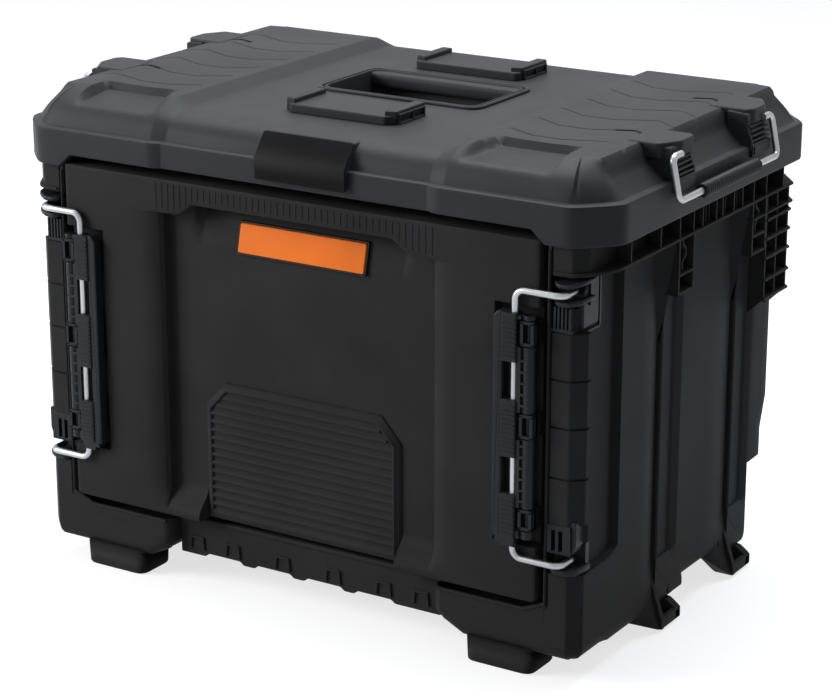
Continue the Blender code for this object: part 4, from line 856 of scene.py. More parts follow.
# %% Body relief
VALLEY, VALLEY_DEPTH = ([-168.2, -166.6, -125.0, -124.0, -119.4, -118], [0, 1, 1, 1.15, 1.15, 0]), 6.5
SHOULDER, SHOULDER_Y, SHOULDER_Z = 7.0, ([-130, -118, -100], [0, 1, 0]), ([64, 91, 94, 140], [0, 1, 1, 0])
REAR_PANEL, REAR_PANEL_Z, REAR_PANEL_X = 2.5, (100, 106, 232, 244), (176, 190)
NECKS, NECK_DEPTH, NECK_X = ((117, 131.6), (287, 305)), 5.0, 254.5
RING_DEPTH, EDGE_STRIP, EDGE_DEPTH = 2.0, (234.3, 235.5), 2.0
KEEPER_HALF, KEEPER_X, KEEPER_Y = 12.3, 252.0, -160.4


def side_relief(y, z):
    """How far the side lies behind its plain face: the post's valley, flutes and grooves by the strips."""
    h = VALLEY_DEPTH * (ramp(z, 91, 93.5) * (1 - ramp(z, 326, 328.5))) * np.interp(y, *VALLEY)
    below_collar = 1 - ramp(z, 329.5, 331)
    slope, groove = ramp(z, 26, 60) * below_collar, ramp(z, 60, 63) * below_collar
    for start, end in STRIPS:
        flute = 24 if start < 0 else 33
        h = h + slope * np.interp(y, [start - flute, start - 0.5 * flute, start - 0.1, start],
                                  [0, 1.7, 4.2, 0])
        h = h + groove * np.interp(y, [start - 2.6, start - 2.5, start - 0.1, start, start + 1.4],
                                   [0, 1.5, 1.5, 1.1, 0])
        h = h + groove * np.interp(y, [start + 1.4, start + 4, end - 4, end - 1.4], [0, 1.8, 1.8, 0])
        h = h + groove * np.interp(y, [end - 1.4, end, end + 0.1, end + 2.5, end + 2.6, end + 12],
                                   [0, 1.1, 5.5, 5.5, 3.0, 0])
    return h


def post_relief(x, z):
    """Steps on the front of the post: rings, a sunk neck beside each keeper, the edge strip by the door."""
    h = 0.0
    for ring in POST_RINGS:
        h -= RING_DEPTH * float(1 - ramp(abs(z - ring), 0.5, 1.1))
    if any(low <= z < high for low, high in NECKS):
        h -= NECK_DEPTH
    if EDGE_STRIP[0] < x < EDGE_STRIP[1]:
        h -= EDGE_DEPTH
    return h


def body_point(x, y, nx, ny, z):
    """A station of the plan at a height, moved by the relief that it meets there."""
    lift = 0.0
    if y < -170 and x > 234 and z > 60:
        h = post_relief(x, z)
        x, y = x + nx * h, y + ny * h
    elif nx == 1:
        x = x - float(side_relief(y, z))
        lift = SHOULDER * np.interp(y, *SHOULDER_Y) * np.interp(z, *SHOULDER_Z)
    elif ny > 0 and 66 < z < 330:
        y = y + REAR_PANEL * float(between(z, REAR_PANEL_Z) * (1 - ease(abs(x), *REAR_PANEL_X)))
    if y < KEEPER_Y and NECKS[1][0] <= z < NECKS[1][1]:
        x = min(x, NECK_X)
    for wire in WIRE_HEIGHTS:
        if abs(z - wire) < KEEPER_HALF and y < KEEPER_Y:
            x, y = min(x, KEEPER_X), KEEPER_Y
    return x, y, z + float(lift)


print("valley depth", float(side_relief(-140, 200)), "flute depth", round(float(side_relief(-51, 200)), 2))

# %% Body skin
# Rows under the base: how far in, and how far above the lower edge
UNDER_ROWS = ((14, 29), (14, 2), (12, 0.2), (9, 0), (5, 1.6), (2, 5), (0.5, 9))
# Rows over the flange and down the inside: how far in, height, and the back corner's cut where it widens
LEDGE_CUT = 68.0
INSIDE_ROWS = ((1.2, 361.7), (2.4, BODY_TOP), (20.0, BODY_TOP), (21.5, 361.0), (21.5, 356.0), (8.0, 356.0),
               (8.0, 100.5), (8.0, 99.5, LEDGE_CUT), (8.0, 68.0, LEDGE_CUT), (10.5, 63.4, LEDGE_CUT),
               (14.0, 62.5, LEDGE_CUT))
EDGE_RISE, FIRST_ROW, TOP_ROUND, SIDE_TUCK = 14, 32, 0.8, 0.42


def foot_height(x, y, nx, ny):
    """Height of the body's lower edge at a station."""
    if nx == 1:
        return float(np.interp(y, *FOOT_LINE))
    return float(np.interp(x, *BASE_SLANT)) if y < 0 else BODY_LOW


def within(amount, z, cut=CORNER_CUTS[1][-1]):
    """A row of the inside; behind the post the wall stands clear of the valley."""
    points = []
    for x, y, nx, ny in body_walk(cut):
        wall = BODY_X - amount - 8 if y < -110.2 and amount >= 8 else BODY_X
        inner_y = y - ny * amount
        points.append((min(x - nx * amount, wall), max(inner_y, BAY_BACK) if amount > 6 else inner_y, z))
    return points


def body_half():
    """Rows of the loft, from the inside of the base skirt, round the outside, to the middle of the floor."""
    low_walk = BASE_END + body_walk(CORNER_CUTS[1][0])[len(BASE_END):]
    foot = [foot_height(*station) for station in low_walk]
    tuck = [SIDE_TUCK if (nx == 1 and y > -133.5) or ny > 0.5 else 1.0 for x, y, nx, ny in low_walk]
    rows = [[(x - nx * amount * w, y - ny * amount * w, min(f + rise, BASE_TOP - 3))
             for (x, y, nx, ny), f, w in zip(low_walk, foot, tuck)] for amount, rise in UNDER_ROWS]
    for z in BODY_Z[BODY_Z >= FIRST_ROW]:
        if z < BASE_TOP:
            share = (z - FIRST_ROW) / (BASE_TOP - FIRST_ROW)
            rows.append([body_point(*station, f + EDGE_RISE + (BASE_TOP - f - EDGE_RISE) * share)
                         for station, f in zip(low_walk, foot)])
            continue
        if z == BASE_TOP:
            row = [body_point(*station, z) for station in low_walk]
            for k, (x, y, _, _) in enumerate(BASE_END):
                row[k] = (x + (TOP_ROUND if k < 5 else 0), y + TOP_ROUND, z)
            rows.append(row)
        plan = body_walk(float(np.interp(z, *CORNER_CUTS)))
        rows.append([body_point(*station, z) for station in plan])
    rows += [within(*row) for row in INSIDE_ROWS]
    rows.append([(0.0, y, z) for x, y, z in rows[-1]])
    return np.array(rows)


body_mould = Mould()
body_mould.skin(body_half())
body_mould.mirror()
make_piece("body_skin", body_mould, shell_plastic, "chest", ["body_shell"], smooth=32)

# %% [markdown]
# ## Door frame, base and feet
# Behind the door a flat frame carries the seal, with a wide doorway through it. Below it the base is a heavy
# block at each end, lower behind its lip so that a dark channel shows under the door, with a set-back,
# scalloped skirt between the blocks. A thin lip follows the door's gap up both posts. Nearly every face is
# flat, so bars and slabs are enough; only the feet and the flare over each claw are skins.

# %% Door frame and lip
base = Mould()
DOORWAY_X, DOORWAY_Z, FRAME_X, FRAME_Z = 202.7, (91.2, 330.0), 232.7, (44, 361.5)
for low, high in ((FRAME_Z[0], DOORWAY_Z[0]), (DOORWAY_Z[1], FRAME_Z[1])):
    bar(base, (-FRAME_X, FRAME_X), (BAY_FACE, BAY_BACK), (low, high), 0.8, axis="y")
LIP = [(134.5, 57.2), (213, 57.2), (232.0, 65.5), (232.0, 350)]
LIP_INNER = [(134.5, 54.2), (214.0, 54.2), (234.2, 63.3), (234.2, 350)]
LIP_CORNER = [(211, 56.2), (232.6, 65.2), (232.6, 52)]
# The wall and the corner stand a hair proud, so that no two faces lie in one plane
WALL_PROUD, CORNER_PROUD, WALL_THICK = 0.12, 0.24, 2
base_run = [*BASE_END, (232, POST_FRONT, 0, -1)]
base_wall = [(x + WALL_PROUD * nx, y + WALL_PROUD * ny) for x, y, nx, ny in base_run]
base_wall += [(x - WALL_THICK * nx, y - WALL_THICK * ny) for x, y, nx, ny in base_run[::-1]]
for _, sign in SIDES:
    sided_bar(base, sign, (DOORWAY_X, 233), (BAY_FACE, BAY_BACK), (80, 345), 0.8, axis="y")
    slab(base, handed(LIP + LIP_INNER[::-1], sign), "y", POST_FRONT - 1.2, POST_FRONT + 1.8, 0.7)
    slab(base, handed(LIP_CORNER, sign), "y", POST_FRONT - CORNER_PROUD, POST_FRONT + 1.7, 0.1)
    slab(base, handed(base_wall, sign), "z", BASE_TOP - 3, 56.8, 0.3)
print("doorway", 2 * DOORWAY_X, "by", round(DOORWAY_Z[1] - DOORWAY_Z[0], 1))

# %% Skirt
SKIRT_X, SKIRT_Z, SCALLOP_Z = 130, (25, 60), 28
scallops = [(-SKIRT_X, SKIRT_Z[1]), (-SKIRT_X, SKIRT_Z[0])]
for x in (-85, -34, 16.5, 66):
    scallops += [(x - 20, SKIRT_Z[0]), (x - 16.5, SCALLOP_Z), (x + 16.5, SCALLOP_Z), (x + 20, SKIRT_Z[0])]
scallops += [(SKIRT_X, SKIRT_Z[0]), (SKIRT_X, SKIRT_Z[1])]
slab(base, rounded(scallops, 1.5, 2), "y", -169.25, -165, 1.4, 2)
ARCH = [(-8, 31), (-7, 43), (7, 43), (8, 31), (6, 31), (5, 41), (-5, 41), (-6, 31)]
for x in (-112, -75, -24, 26.5, 76, 112):
    slab(base, [(x + dx, z) for dx, z in ARCH], "y", -171.0, -166, 0.5)
bar(base, (-SKIRT_X, SKIRT_X), (-171.5, -166), (57.0, 60.6), 0.8)
bar(base, (-131, 131), (-169, BAY_FACE + 1), (BASE_TOP - 6, BASE_TOP), 0.6)
make_piece("base_front", base, shell_plastic, "chest")

# %% Feet
FRONT_FOOT = {"x": (161, 222), "y": (-183.8, -142.6), "z": (0, 20.5), "taper": 0.6, "radius": 9}
REAR_FOOT = {"x": (140.5, 190.5), "y": (145.2, 184.8), "z": (0, 21), "taper": 3.0, "radius": 4}


def tapered(mould, sign, x, y, z, taper, radius):
    """A foot: an outline that widens upwards, closed below and above."""
    x = reach(sign, *x)
    rings = []
    for height, grow in ((z[0], -1.6), (z[0] + 0.5, -0.6), (z[0] + 1.8, 0.0), (z[1], taper)):
        outline = rounded_box((x[0] - grow, x[1] + grow), (y[0] - grow, y[1] + grow), radius)
        rings.append([(a, b, height) for a, b in outline])
    mould.skin(np.array(rings), loop=True)
    mould.add(rings[0], [tuple(range(len(rings[0])))[::-1]])
    mould.add(rings[-1], [tuple(range(len(rings[0])))])


print("front feet", FRONT_FOOT["x"], "rear feet", REAR_FOOT["x"])

# %% Claws under the side strips
CLAW_BACK, CLAW_X, CLAW_LOW, CLAW_TOP = 254, 271, 2.2, 12.4
FLARE_TOP, FLARE_LOW, FLARE_OUT = 58, 2.4, 9.0
CLAW_END = [(CLAW_BACK, FLARE_LOW), (270.0, FLARE_LOW), (CLAW_X, 3.6), (270.4, 12), (266, 26), (260, 44),
            (CLAW_BACK, 44)]
CLAW_TAIL = [(CLAW_BACK, CLAW_LOW), (CLAW_X, CLAW_LOW), (CLAW_X, CLAW_TOP), (262, 19), (CLAW_BACK, 19)]


def claw(mould, sign, start):
    """The hook under a side strip: the wall flares out to it, and a lip and a tail stand round its slot."""
    wall_low = 18.4 if start < 0 else 29.4
    flare = []
    for t in np.linspace(0, 1, 9):
        row = []
        for y in np.linspace(start - 40, start + 1, 12):
            out = float(ramp(y, start - 38, start - 4))
            low = wall_low * (1 - out) + FLARE_LOW * out
            wall = BODY_X - float(side_relief(min(y, start - 0.2), 62)) - 0.6
            x = wall + (BODY_X + FLARE_OUT * out - wall) * t ** 1.8 - 7.5 * (1 - out) * t
            row.append((sign * x, y, FLARE_TOP + (low - FLARE_TOP) * t))
        flare.append(row)
    flare.append([(sign * (abs(x) - 1.2), y, z - 0.3) for x, y, z in flare[-1]])
    flare.append([(sign * CLAW_BACK, y, z + 0.3) for x, y, z in flare[-1]])
    surface = np.array(flare)
    mould.skin(surface if sign < 0 else surface[:, ::-1])
    slab(mould, handed(CLAW_END, sign), "y", start - 4, start + 1.4, 0.4)
    sided_bar(mould, sign, (CLAW_BACK, 270.6), (start - 4, start + 30), (CLAW_LOW, 6.0), 1.0)
    sided_bar(mould, sign, (266.6, CLAW_X), (start - 3, start + 30), (CLAW_LOW, CLAW_TOP), 1.2, arcs=2)
    tail = rounded(CLAW_TAIL, [0, 1.5, 2, 2, 0])
    slab(mould, handed(tail, sign), "y", start + 21, start + 30, 1.2, 2)


def strip_foot(mould, sign, start, tail):
    """The lower end of a strip, turned back along the bottom edge where the wall leaves it room."""
    if tail:
        path = [(0, 62), (0.4, 53), (23, 32.5), (25, 21.6), (50, 21.6), (50, 28), (48, 34.5), (25, 53),
                (24.5, 62)]
    else:
        path = [(0, 62), (0.4, 53), (21, 33), (24.5, 33), (24.5, 62)]
    outline = rounded([(start + y, z) for y, z in path], [0, 4, 3, 2, 1.5, 1.5, 3, 4, 0][:len(path)])
    slab(mould, outline, "x", *reach(sign, CLAW_BACK, BODY_X + 0.3), 1.0, 2)


feet = Mould()
for _, sign in SIDES:
    tapered(feet, sign, **FRONT_FOOT)
    tapered(feet, sign, **REAR_FOOT)
    for start, _ in STRIPS:
        claw(feet, sign, start)
        strip_foot(feet, sign, start, start < 0)
make_piece("feet", feet, shell_plastic, "chest")

# %% [markdown]
# ## The collar
# Under the lid the walls are stiffened by a ring of thin ribs: a level rib all round, upright ribs between it
# and the rim, two ladders of pockets on each side and a deep block at the back corners. An array modifier
# could repeat them, but they stand at uneven distances, so each rib is a bar from a list of places.

# %% Collar shapes
collar = Mould()
COLLAR_X, COLLAR_BACK, COLLAR_Z = 276.0, 192.5, (332, 360)
GUSSET_Z, GUSSET_WIDE, GUSSET_OUT = (333.5, 300, 272, 248), 18, 15
HOOK = [(-5, 306), (-5, 313), (1, 318), (1, 322), (-4, 326), (-4, 331), (-1.6, 331), (-1.6, 327.4),
        (3.4, 323.2), (3.4, 316.8), (-2.6, 311.6), (-2.6, 306)]
BLOCK = [(258, 111), (COLLAR_X, 111), (COLLAR_X, 158), (243, COLLAR_BACK), (228, COLLAR_BACK), (228, 186),
         (240, 180), (258, 158)]
WEDGE = [(259, 243), (COLLAR_X - 0.6, 243), (261, 229), (259, 229)]


def ring_rib(z, height, start, corner):
    """A level rib round one side and half the back, from its start in (x, y)."""
    x, back = COLLAR_X, COLLAR_BACK
    plan = [start, (x - 19 if corner else x, start[1]), (x, start[1] + (29 if corner else 0)), (x, back - 32),
            (x - 26, back), (0, back), (0, back - 12), (x - 32, back - 12), (x - 16, back - 36),
            (x - 16, start[1] + (42 if corner else 12)), (start[0], start[1] + 12)]
    strip = rounded(plan, [0, corner, corner, 0, 0, 0, 0, 0, 0, 0, 0], 6)
    for _, sign in SIDES:
        slab(collar, handed(strip, sign), "z", z - height, z, 0.5)


def ladder(sign, low, high):
    """The pockets over a side strip: two rails, two rungs, a leaning gusset in front and a hook inside."""
    for y in (low, high):
        sided_bar(collar, sign, (256, COLLAR_X - 0.6), (y - 1.1, y + 1.1), (286.5, 334), 0.5)
    for z in (288.0, 303.0):
        sided_bar(collar, sign, (256, COLLAR_X - 0.6), (low, high), (z - 1.2, z + 1.2), 0.5)
    tall = GUSSET_Z[0] - GUSSET_Z[-1]
    for z, foot in zip(GUSSET_Z, GUSSET_Z[1:]):
        rings = []
        for v in (foot, z):
            wide = GUSSET_WIDE * (v - GUSSET_Z[-1]) / tall
            deep = BODY_X - 2 + GUSSET_OUT * (v - GUSSET_Z[-1]) / tall
            plan = [(257, low - wide), (BODY_X - 4, low - wide), (deep, low), (257, low)]
            rings.append([(x, y, v) for x, y in handed(plan, sign)][::sign])
        collar.skin(np.array(rings), loop=True)
    middle = (low + high) / 2
    slab(collar, [(middle + y, z) for y, z in HOOK], "x", *reach(sign, 256, COLLAR_X - 2.5), 0.5)


print("collar reaches", COLLAR_X, "to the side and", COLLAR_BACK, "to the back")

# %% Collar ribs
ring_rib(334.2, 2.6, (238, POST_FRONT - 1.5), 12)
ring_rib(319.0, 2.4, (258, 81.0), 0)
for _, sign in SIDES:
    for y in (-133, -84, -51, -27, -11, 13.5, 25, 46, 62, 83.5, 108, 141):
        sided_bar(collar, sign, (258, COLLAR_X - 0.8), (y - 0.9, y + 0.9), COLLAR_Z, 0.4)
    for y in (-5, 0.5, 6, 19, 30.5, 36, 52, 57):
        sided_bar(collar, sign, (258, COLLAR_X - 4), (y - 0.6, y + 0.6), COLLAR_Z, 0.3)
    for start, end in STRIPS:
        ladder(sign, start - 0.8, end - 0.2)
    for z in (311.0, 294.5, 278.0, 259.0, 242.5):
        slab(collar, handed(BLOCK, sign), "z", z - 1.2, z + 1.2, 0.5)
    for x, y in ((COLLAR_X - 1, 112.5), (COLLAR_X - 1.5, 134), (COLLAR_X - 1.5, 156), (256, 178), (230, 191)):
        sided_bar(collar, sign, (x - 14, x - 0.5), (y - 1.1, y + 1.1), (242, 333), 0.4)
    for y0, y1 in ((111.4, 113.6), (140, 142), (155, 157)):
        slab(collar, handed(WEDGE, sign), "y", y0, y1, 0.4)
make_piece("collar_ribs", collar, shell_plastic, "chest")

# %% [markdown]
# ## The door
# The door is a thick panel with a wide sunk field, a lip to pull it by, a ribbed pad and a pocket at each end
# for the latch. Its front and its back are two reliefs on one grid, which keeps the wall even. The rows near
# the lip bend along the lip's edge, so its slanted corners are clean, and strips join the two faces round the
# border.

# %% Door relief
DOOR_X, DOOR_LOW, DOOR_TOP = 226.6, 64.2, 357.0
DOOR_FRONT, DOOR_BACK, FIELD = -187.25, -159.25, -172.25
LEVER_SPAN = (112.1, 303.1)
LIP_EDGE = ([0, 95.5, 110, 141, DOOR_X], [338.5, 338.5, 328.5, 327.5, 327.5])
FIELD_END = ([129, 130.4, 133.5, 138.5, 144, 150], [1, 0.5, 0.3, 0.14, 0.04, 0])
LIP_ROUND, LIP_FADE = ([0.4, 1.4, 3.2], [1.2, 0.4, 0.0]), (136, 140)
PULL_END, PULL_Z, PULL_DEPTH = (98, 103), (303.5, 338.5), 8.0
STEP_LIFT, STEP_DEPTH = (-7, -3), 3.2
POCKET_X, POCKET_DEPTH = (188.0, 190.0), 8.0
POCKET_Z = (LEVER_SPAN[0] - 1.5, LEVER_SPAN[0] + 1.0, LEVER_SPAN[1] - 1.0, LEVER_SPAN[1] + 1.5)
FRAME_EDGE = ([0, 0.6, 2.0], [1.8, 0.7, 0.0])
DOOR_WALL, RIB_HALF, RIB_SET_BACK = 4.0, 1.3, 1.0
UPRIGHT_RIBS, LEVEL_RIBS, LEVEL_RIB_FROM = (134.5, 160, 187), (138, 212, 286), 134


def lip_line(x):
    """Height of the lip's lower edge along the door."""
    return np.interp(np.abs(x), *LIP_EDGE)


def door_front(x, z, lip):
    """Depth of the front face; lip is the height above the lip's edge."""
    side = np.abs(x)
    under_lip = 1 - ramp(lip, -0.4, 0.4)
    middle = 1 - ease(side, *PULL_END)
    field = np.interp(side, *FIELD_END) * under_lip
    low = np.where(side < 96, 1.0, ease(z, DOOR_LOW + 4, DOOR_LOW + 27))
    y = np.full(x.shape, DOOR_FRONT) + (FIELD - DOOR_FRONT) * field * low
    y = y + PULL_DEPTH * (middle * ramp(z, *PULL_Z) * under_lip)
    y = y + STEP_DEPTH * middle * ramp(lip, *STEP_LIFT) * under_lip
    y = y + np.interp(lip, *LIP_ROUND) * (lip > 0.3) * (1 - ease(side, *LIP_FADE))
    y = y + POCKET_DEPTH * (ease(side, *POCKET_X) * between(z, POCKET_Z))
    border = np.minimum(DOOR_X - side, np.minimum(z - DOOR_LOW, DOOR_TOP - z))
    return y + np.interp(border, *FRAME_EDGE)


def door_back(x, z, front):
    """Depth of the back face: a border for the seal, a hollow that follows the front, and ribs across it."""
    side = np.abs(x)
    inside = (1 - ease(side, DOOR_X - 7, DOOR_X - 4.5)) * between(
        z, (DOOR_LOW + 4.5, DOOR_LOW + 7, DOOR_TOP - 7, DOOR_TOP - 4.5))
    wall = np.minimum(front + DOOR_WALL, DOOR_BACK)
    y = DOOR_BACK + (wall - DOOR_BACK) * inside
    for rib in UPRIGHT_RIBS:
        y = np.where(np.abs(side - rib) < RIB_HALF, DOOR_BACK - RIB_SET_BACK, y)
    for rib in LEVEL_RIBS:
        y = np.where((np.abs(z - rib) < RIB_HALF) & (side > LEVEL_RIB_FROM), DOOR_BACK - RIB_SET_BACK, y)
    return y


print("lip height in the middle and at the ends", float(lip_line(0)), float(lip_line(DOOR_X)))

# %% Door skin
DOOR_XS = stations(both((
    0, 95.5, 96.5, 98, 103, 110, 127, 129, 130.4, 133.2, 133.5, 135.8, 138.5, 144, 150, 158.7, 161.3,
    185.7, 188, 188.3, 189, 190, 213, *[DOOR_X - o for o in (7, 4.5, 2, 0.6, 0)])), 9)
LOW_ROWS = stations([*[DOOR_LOW + o for o in (0, 0.6, 2, 4.5, 7, 12, 17, 22, 27)], *POCKET_Z,
                     *[z + o for z in LEVEL_RIBS for o in both((RIB_HALF,))], 312, 320], 9)
LIP_ROWS = [-7.0, -3.0, -0.4, 0.4, 1.4, 3.2, 7.0]
TOP_ROWS = stations([345, *[DOOR_TOP - o for o in (7, 4.5, 2, 0.6, 0)]], 6)
CHAMFER = ([DOOR_X - 4.5, DOOR_X], [0, 3.0])


def door_rows():
    """Heights of the grid: level rows, rows that follow the lip, and level rows again at the top."""
    level = np.ones(DOOR_XS.shape)
    edge = lip_line(DOOR_XS)
    heights = [level * z for z in LOW_ROWS]
    heights += [edge + lift for lift in LIP_ROWS]
    heights += [np.maximum(level * z, edge + LIP_ROWS[-1] + 0.05 * (z - 329)) for z in TOP_ROWS]
    z = np.array(heights)
    lowest = DOOR_LOW + np.interp(np.abs(DOOR_XS), *CHAMFER)
    return np.maximum(z, lowest[None, :] + (z - DOOR_LOW) * 0.02)


door = Mould()
zs = door_rows()
xs = np.broadcast_to(DOOR_XS, zs.shape)
fronts = door_front(xs, zs, zs - lip_line(DOOR_XS)[None, :])
backs = door_back(xs, zs, fronts)
door.skin(np.stack([xs, fronts, zs], 2))
door.skin(np.stack([xs, backs, zs], 2)[:, ::-1])
for edge, flip in ((np.s_[0, :], True), (np.s_[-1, :], False), (np.s_[:, 0], False), (np.s_[:, -1], True)):
    near = np.stack([xs[edge], fronts[edge], zs[edge]], 1)
    far = np.stack([xs[edge], backs[edge], zs[edge]], 1)
    door.skin(np.stack([far, near] if flip else [near, far], 0))
make_piece("door_skin", door, shell_plastic, "door", ["door_panel"], smooth=33)

# %% Ribbed pad
PAD_TOP, PAD_LOW, PAD_X, PAD_CUT = 187.0, 66.0, 95.5, 19.0
PAD_SHOULDER = PAD_TOP - PAD_CUT - 2
# Rings of the pad's raised border: inset and depth
PAD_BORDER = ((6.6, 0.0), (6.6, -3.8), (6.0, -4.6), (4.8, -4.8), (1.0, -2.0), (0.0, -0.6), (0.0, 1.0))
RIDGES, RIDGE = 15, [(-2.0, -2.3), (-4.2, -1.7), (-4.6, -1.0), (-4.3, 0.4), (-2.0, 2.6)]
pad = Mould()
pad_edge = [(-PAD_X, PAD_LOW), (PAD_X, PAD_LOW), (PAD_X, PAD_SHOULDER), (PAD_X - PAD_CUT, PAD_TOP),
            (PAD_CUT - PAD_X, PAD_TOP), (-PAD_X, PAD_SHOULDER)][::-1]
slab(pad, pad_edge, "y", FIELD - 2.8, FIELD + 1, 2.0)
border = [[(x, FIELD + depth, z) for x, z in inset(pad_edge, amount)] for amount, depth in PAD_BORDER]
pad.skin(np.array(border), loop=True)
pitch = (PAD_TOP - PAD_LOW - 8) / (RIDGES + 0.5)
for k in range(RIDGES):
    z = PAD_LOW + 7 + pitch * k
    half = PAD_X - 5.5 - max(0.0, (z + 3 - (PAD_SHOULDER - 2)) * PAD_CUT / (PAD_CUT + 2))
    slab(pad, [(FIELD + dy, z + dz) for dy, dz in RIDGE], "x", -half, half, 0.4)
for x in np.arange(-132, 133, 6.0):
    bar(pad, (x - 0.6, x + 0.6), (DOOR_FRONT - 0.4, DOOR_FRONT + 2), (float(lip_line(x)) + 4.0, 353.5), 0.3)
make_piece("rib_pad", pad, shell_plastic, "door")

# %% Orange plate
plate_low, plate_high = (np.array(corner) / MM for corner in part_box("door_orange_plate"))
PLATE_DEPTH, PLATE_WIDER, PLATE_LOWER, RIM_GAP, RIM_HALF = 3.0, 3.2, 3.0, 0.9, 0.6
lean = (plate_high[1] - plate_low[1] - PLATE_DEPTH) / (plate_high[2] - plate_low[2])


def plate_place(x, y, z):
    """The plate leans back as the solid does."""
    return x, y + lean * (z - plate_low[2]), z


left, right = plate_low[0], plate_high[0] + PLATE_WIDER
foot, head, front = plate_low[2] - PLATE_LOWER, plate_high[2], plate_low[1]
plate = Mould()
slab(plate, rounded(oblong((left, right), (foot, head)), 1.6), "y", front - 0.3, front + PLATE_DEPTH, 0.9, 3,
     place=plate_place)
make_piece("orange_plate", plate, orange_plastic, "door", ["door_orange_plate"], slot="orange")
fittings = Mould()
rim = oblong((left - RIM_GAP, right + RIM_GAP), (foot - RIM_GAP, head + RIM_GAP))
for (xa, za), (xb, zb) in zip(rim, rim[1:] + rim[:1]):
    across = (min(xa, xb) - RIM_HALF, max(xa, xb) + RIM_HALF)
    upright = (min(za, zb) - RIM_HALF, max(za, zb) + RIM_HALF)
    slab(fittings, oblong(across, upright), "y", front + 0.8, front + 4.5, 0.3, place=plate_place)
print("plate lean", round(float(lean), 3))

# %% Ears for the levers
# Each ear: height of its middle and half its height
EARS = ((134.6, 8.4), (210.6, 9.8), (284.6, 9.8))
EAR_X, EAR_FRONT, EAR_RAIL = (214.4, 226.2), (-194.4, -186), 2.6
for _, sign in SIDES:
    x0, x1 = reach(sign, *EAR_X)
    for z, half in EARS:
        bar(fittings, (x0, x1), (-188.6, -178), (z - half, z + half), 0.6)
        for za, zb in ((z - half, z - half + EAR_RAIL), (z + half - EAR_RAIL, z + half)):
            bar(fittings, (x0, x1), EAR_FRONT, (za, zb), 0.6)
        for xa, xb in ((x0, x0 + EAR_RAIL), (x1 - EAR_RAIL, x1)):
            bar(fittings, (xa, xb), EAR_FRONT, (z - half + 0.4, z + half - 0.4), 0.6)
make_piece("door_fittings", fittings, latch_plastic, "door", slot="latch")

# %% [markdown]
# ## The latches
# Each latch is a lever on the door with a bent wire run through it; the wire's tails hook between the fingers
# of two keepers on the post. The wire shows through two windows. Levers are built from rails and ribbed
# bridges, wires are curves with a round bevel on nearly the same path as the solid, so they stay smooth at
# any size.

# %% Levers
PIVOT, BARREL_RADIUS = (220.5, -189.75), 4.9
LEVER_FRONT, LEVER_BACK = -196.6, -186.0
RAIL = [(191.4, 118), (191.4, 296), (195, 300.2), (199.4, 300.2), (199.4, 118)]
BRIDGES = ((261.0, 300.0), (184.4, 231.0), (118.0, 154.6))
BARREL_Z, EAR_GAP = (118.6, 298.6), 0.8


def lever(side, sign):
    """A grip bar: a rail, three ribbed bridges, a toe, and a barrel between the door's ears."""
    mould = Mould()
    block = partial(sided_bar, mould, sign)
    slab(mould, handed(rounded(RAIL, 1), sign), "y", -195.4, LEVER_BACK, 1.4, 3)
    for low, high in BRIDGES:
        block((198.6, 212.2), (LEVER_FRONT, LEVER_BACK + 0.5), (low, high), 1.2, axis="y", arcs=2)
        for z in np.arange(low + 4, high - 2, 3.7):
            block((199.6, 211.4), (LEVER_FRONT - 0.9, LEVER_FRONT + 1), (z - 0.8, z + 0.8), 0.4)
    block((194, 212), (-195.6, -187), (114.0, 120), 1.2, axis="y", arcs=2)
    block((199, 211), (-194.4, -187.5), (110.4, 116), 1.2, axis="y", arcs=2)
    barrel = [(sign * (PIVOT[0] + BARREL_RADIUS * cos(a)), PIVOT[1] + BARREL_RADIUS * sin(a))
              for a in np.linspace(0, 2 * pi, 17)[:-1]]
    stops = [BARREL_Z[0], *[z + end * (half + EAR_GAP) for z, half in EARS for end in (-1, 1)], BARREL_Z[1]]
    for low, high in zip(stops[::2], stops[1::2]):
        slab(mould, barrel, "z", low, high, 0.8, 2)
        block((211.6, 215.4), (-194.8, LEVER_BACK), (low, high), 0.8)
        block((213, 220), (-192.3, -187.2), (low, high), 0.6)
        for z in np.arange(low + 6, high - 4, 9.0):
            block((214.8, 222), (-195.0, -190), (z - 1.0, z + 1.0), 0.4)
    make_piece(side + "_lever", mould, latch_plastic, side + "_lever", [side + "_latch_lever"], slot="latch")


for side, sign in SIDES:
    lever(side, sign)

# %% Wires
WIRE_RADIUS, LATCH_BEND, BAIL_BEND, BEND_STEPS = 2.8, 8.0, 6, 8
WIRE_X, WIRE_Y, TIP_X, TIP_Y, WIRE_DROP = 208.4, -191.25, 250.0, -173.25, 2.6
BAIL_PIVOT, BAIL_BAR, BAIL_HALF, STUB = (283, 406.5), (290, 373), 89, 15


def bent(corners, radius):
    """A path of straight runs whose corners are turned on arcs."""
    path = [Vector(corners[0])]
    for before, corner, after in zip(corners, corners[1:], corners[2:]):
        corner = Vector(corner)
        into, out = (corner - Vector(before)).normalized(), (Vector(after) - corner).normalized()
        angle = into.angle(out)
        back = radius * sin(angle / 2) / cos(angle / 2)
        centre = corner - into * back + (out - into * into.dot(out)).normalized() * radius
        arm = corner - into * back - centre
        turns = [angle * k / BEND_STEPS for k in range(BEND_STEPS + 1)]
        path += [centre + arm * cos(turn) + into * radius * sin(turn) for turn in turns]
    return path + [Vector(corners[-1])]


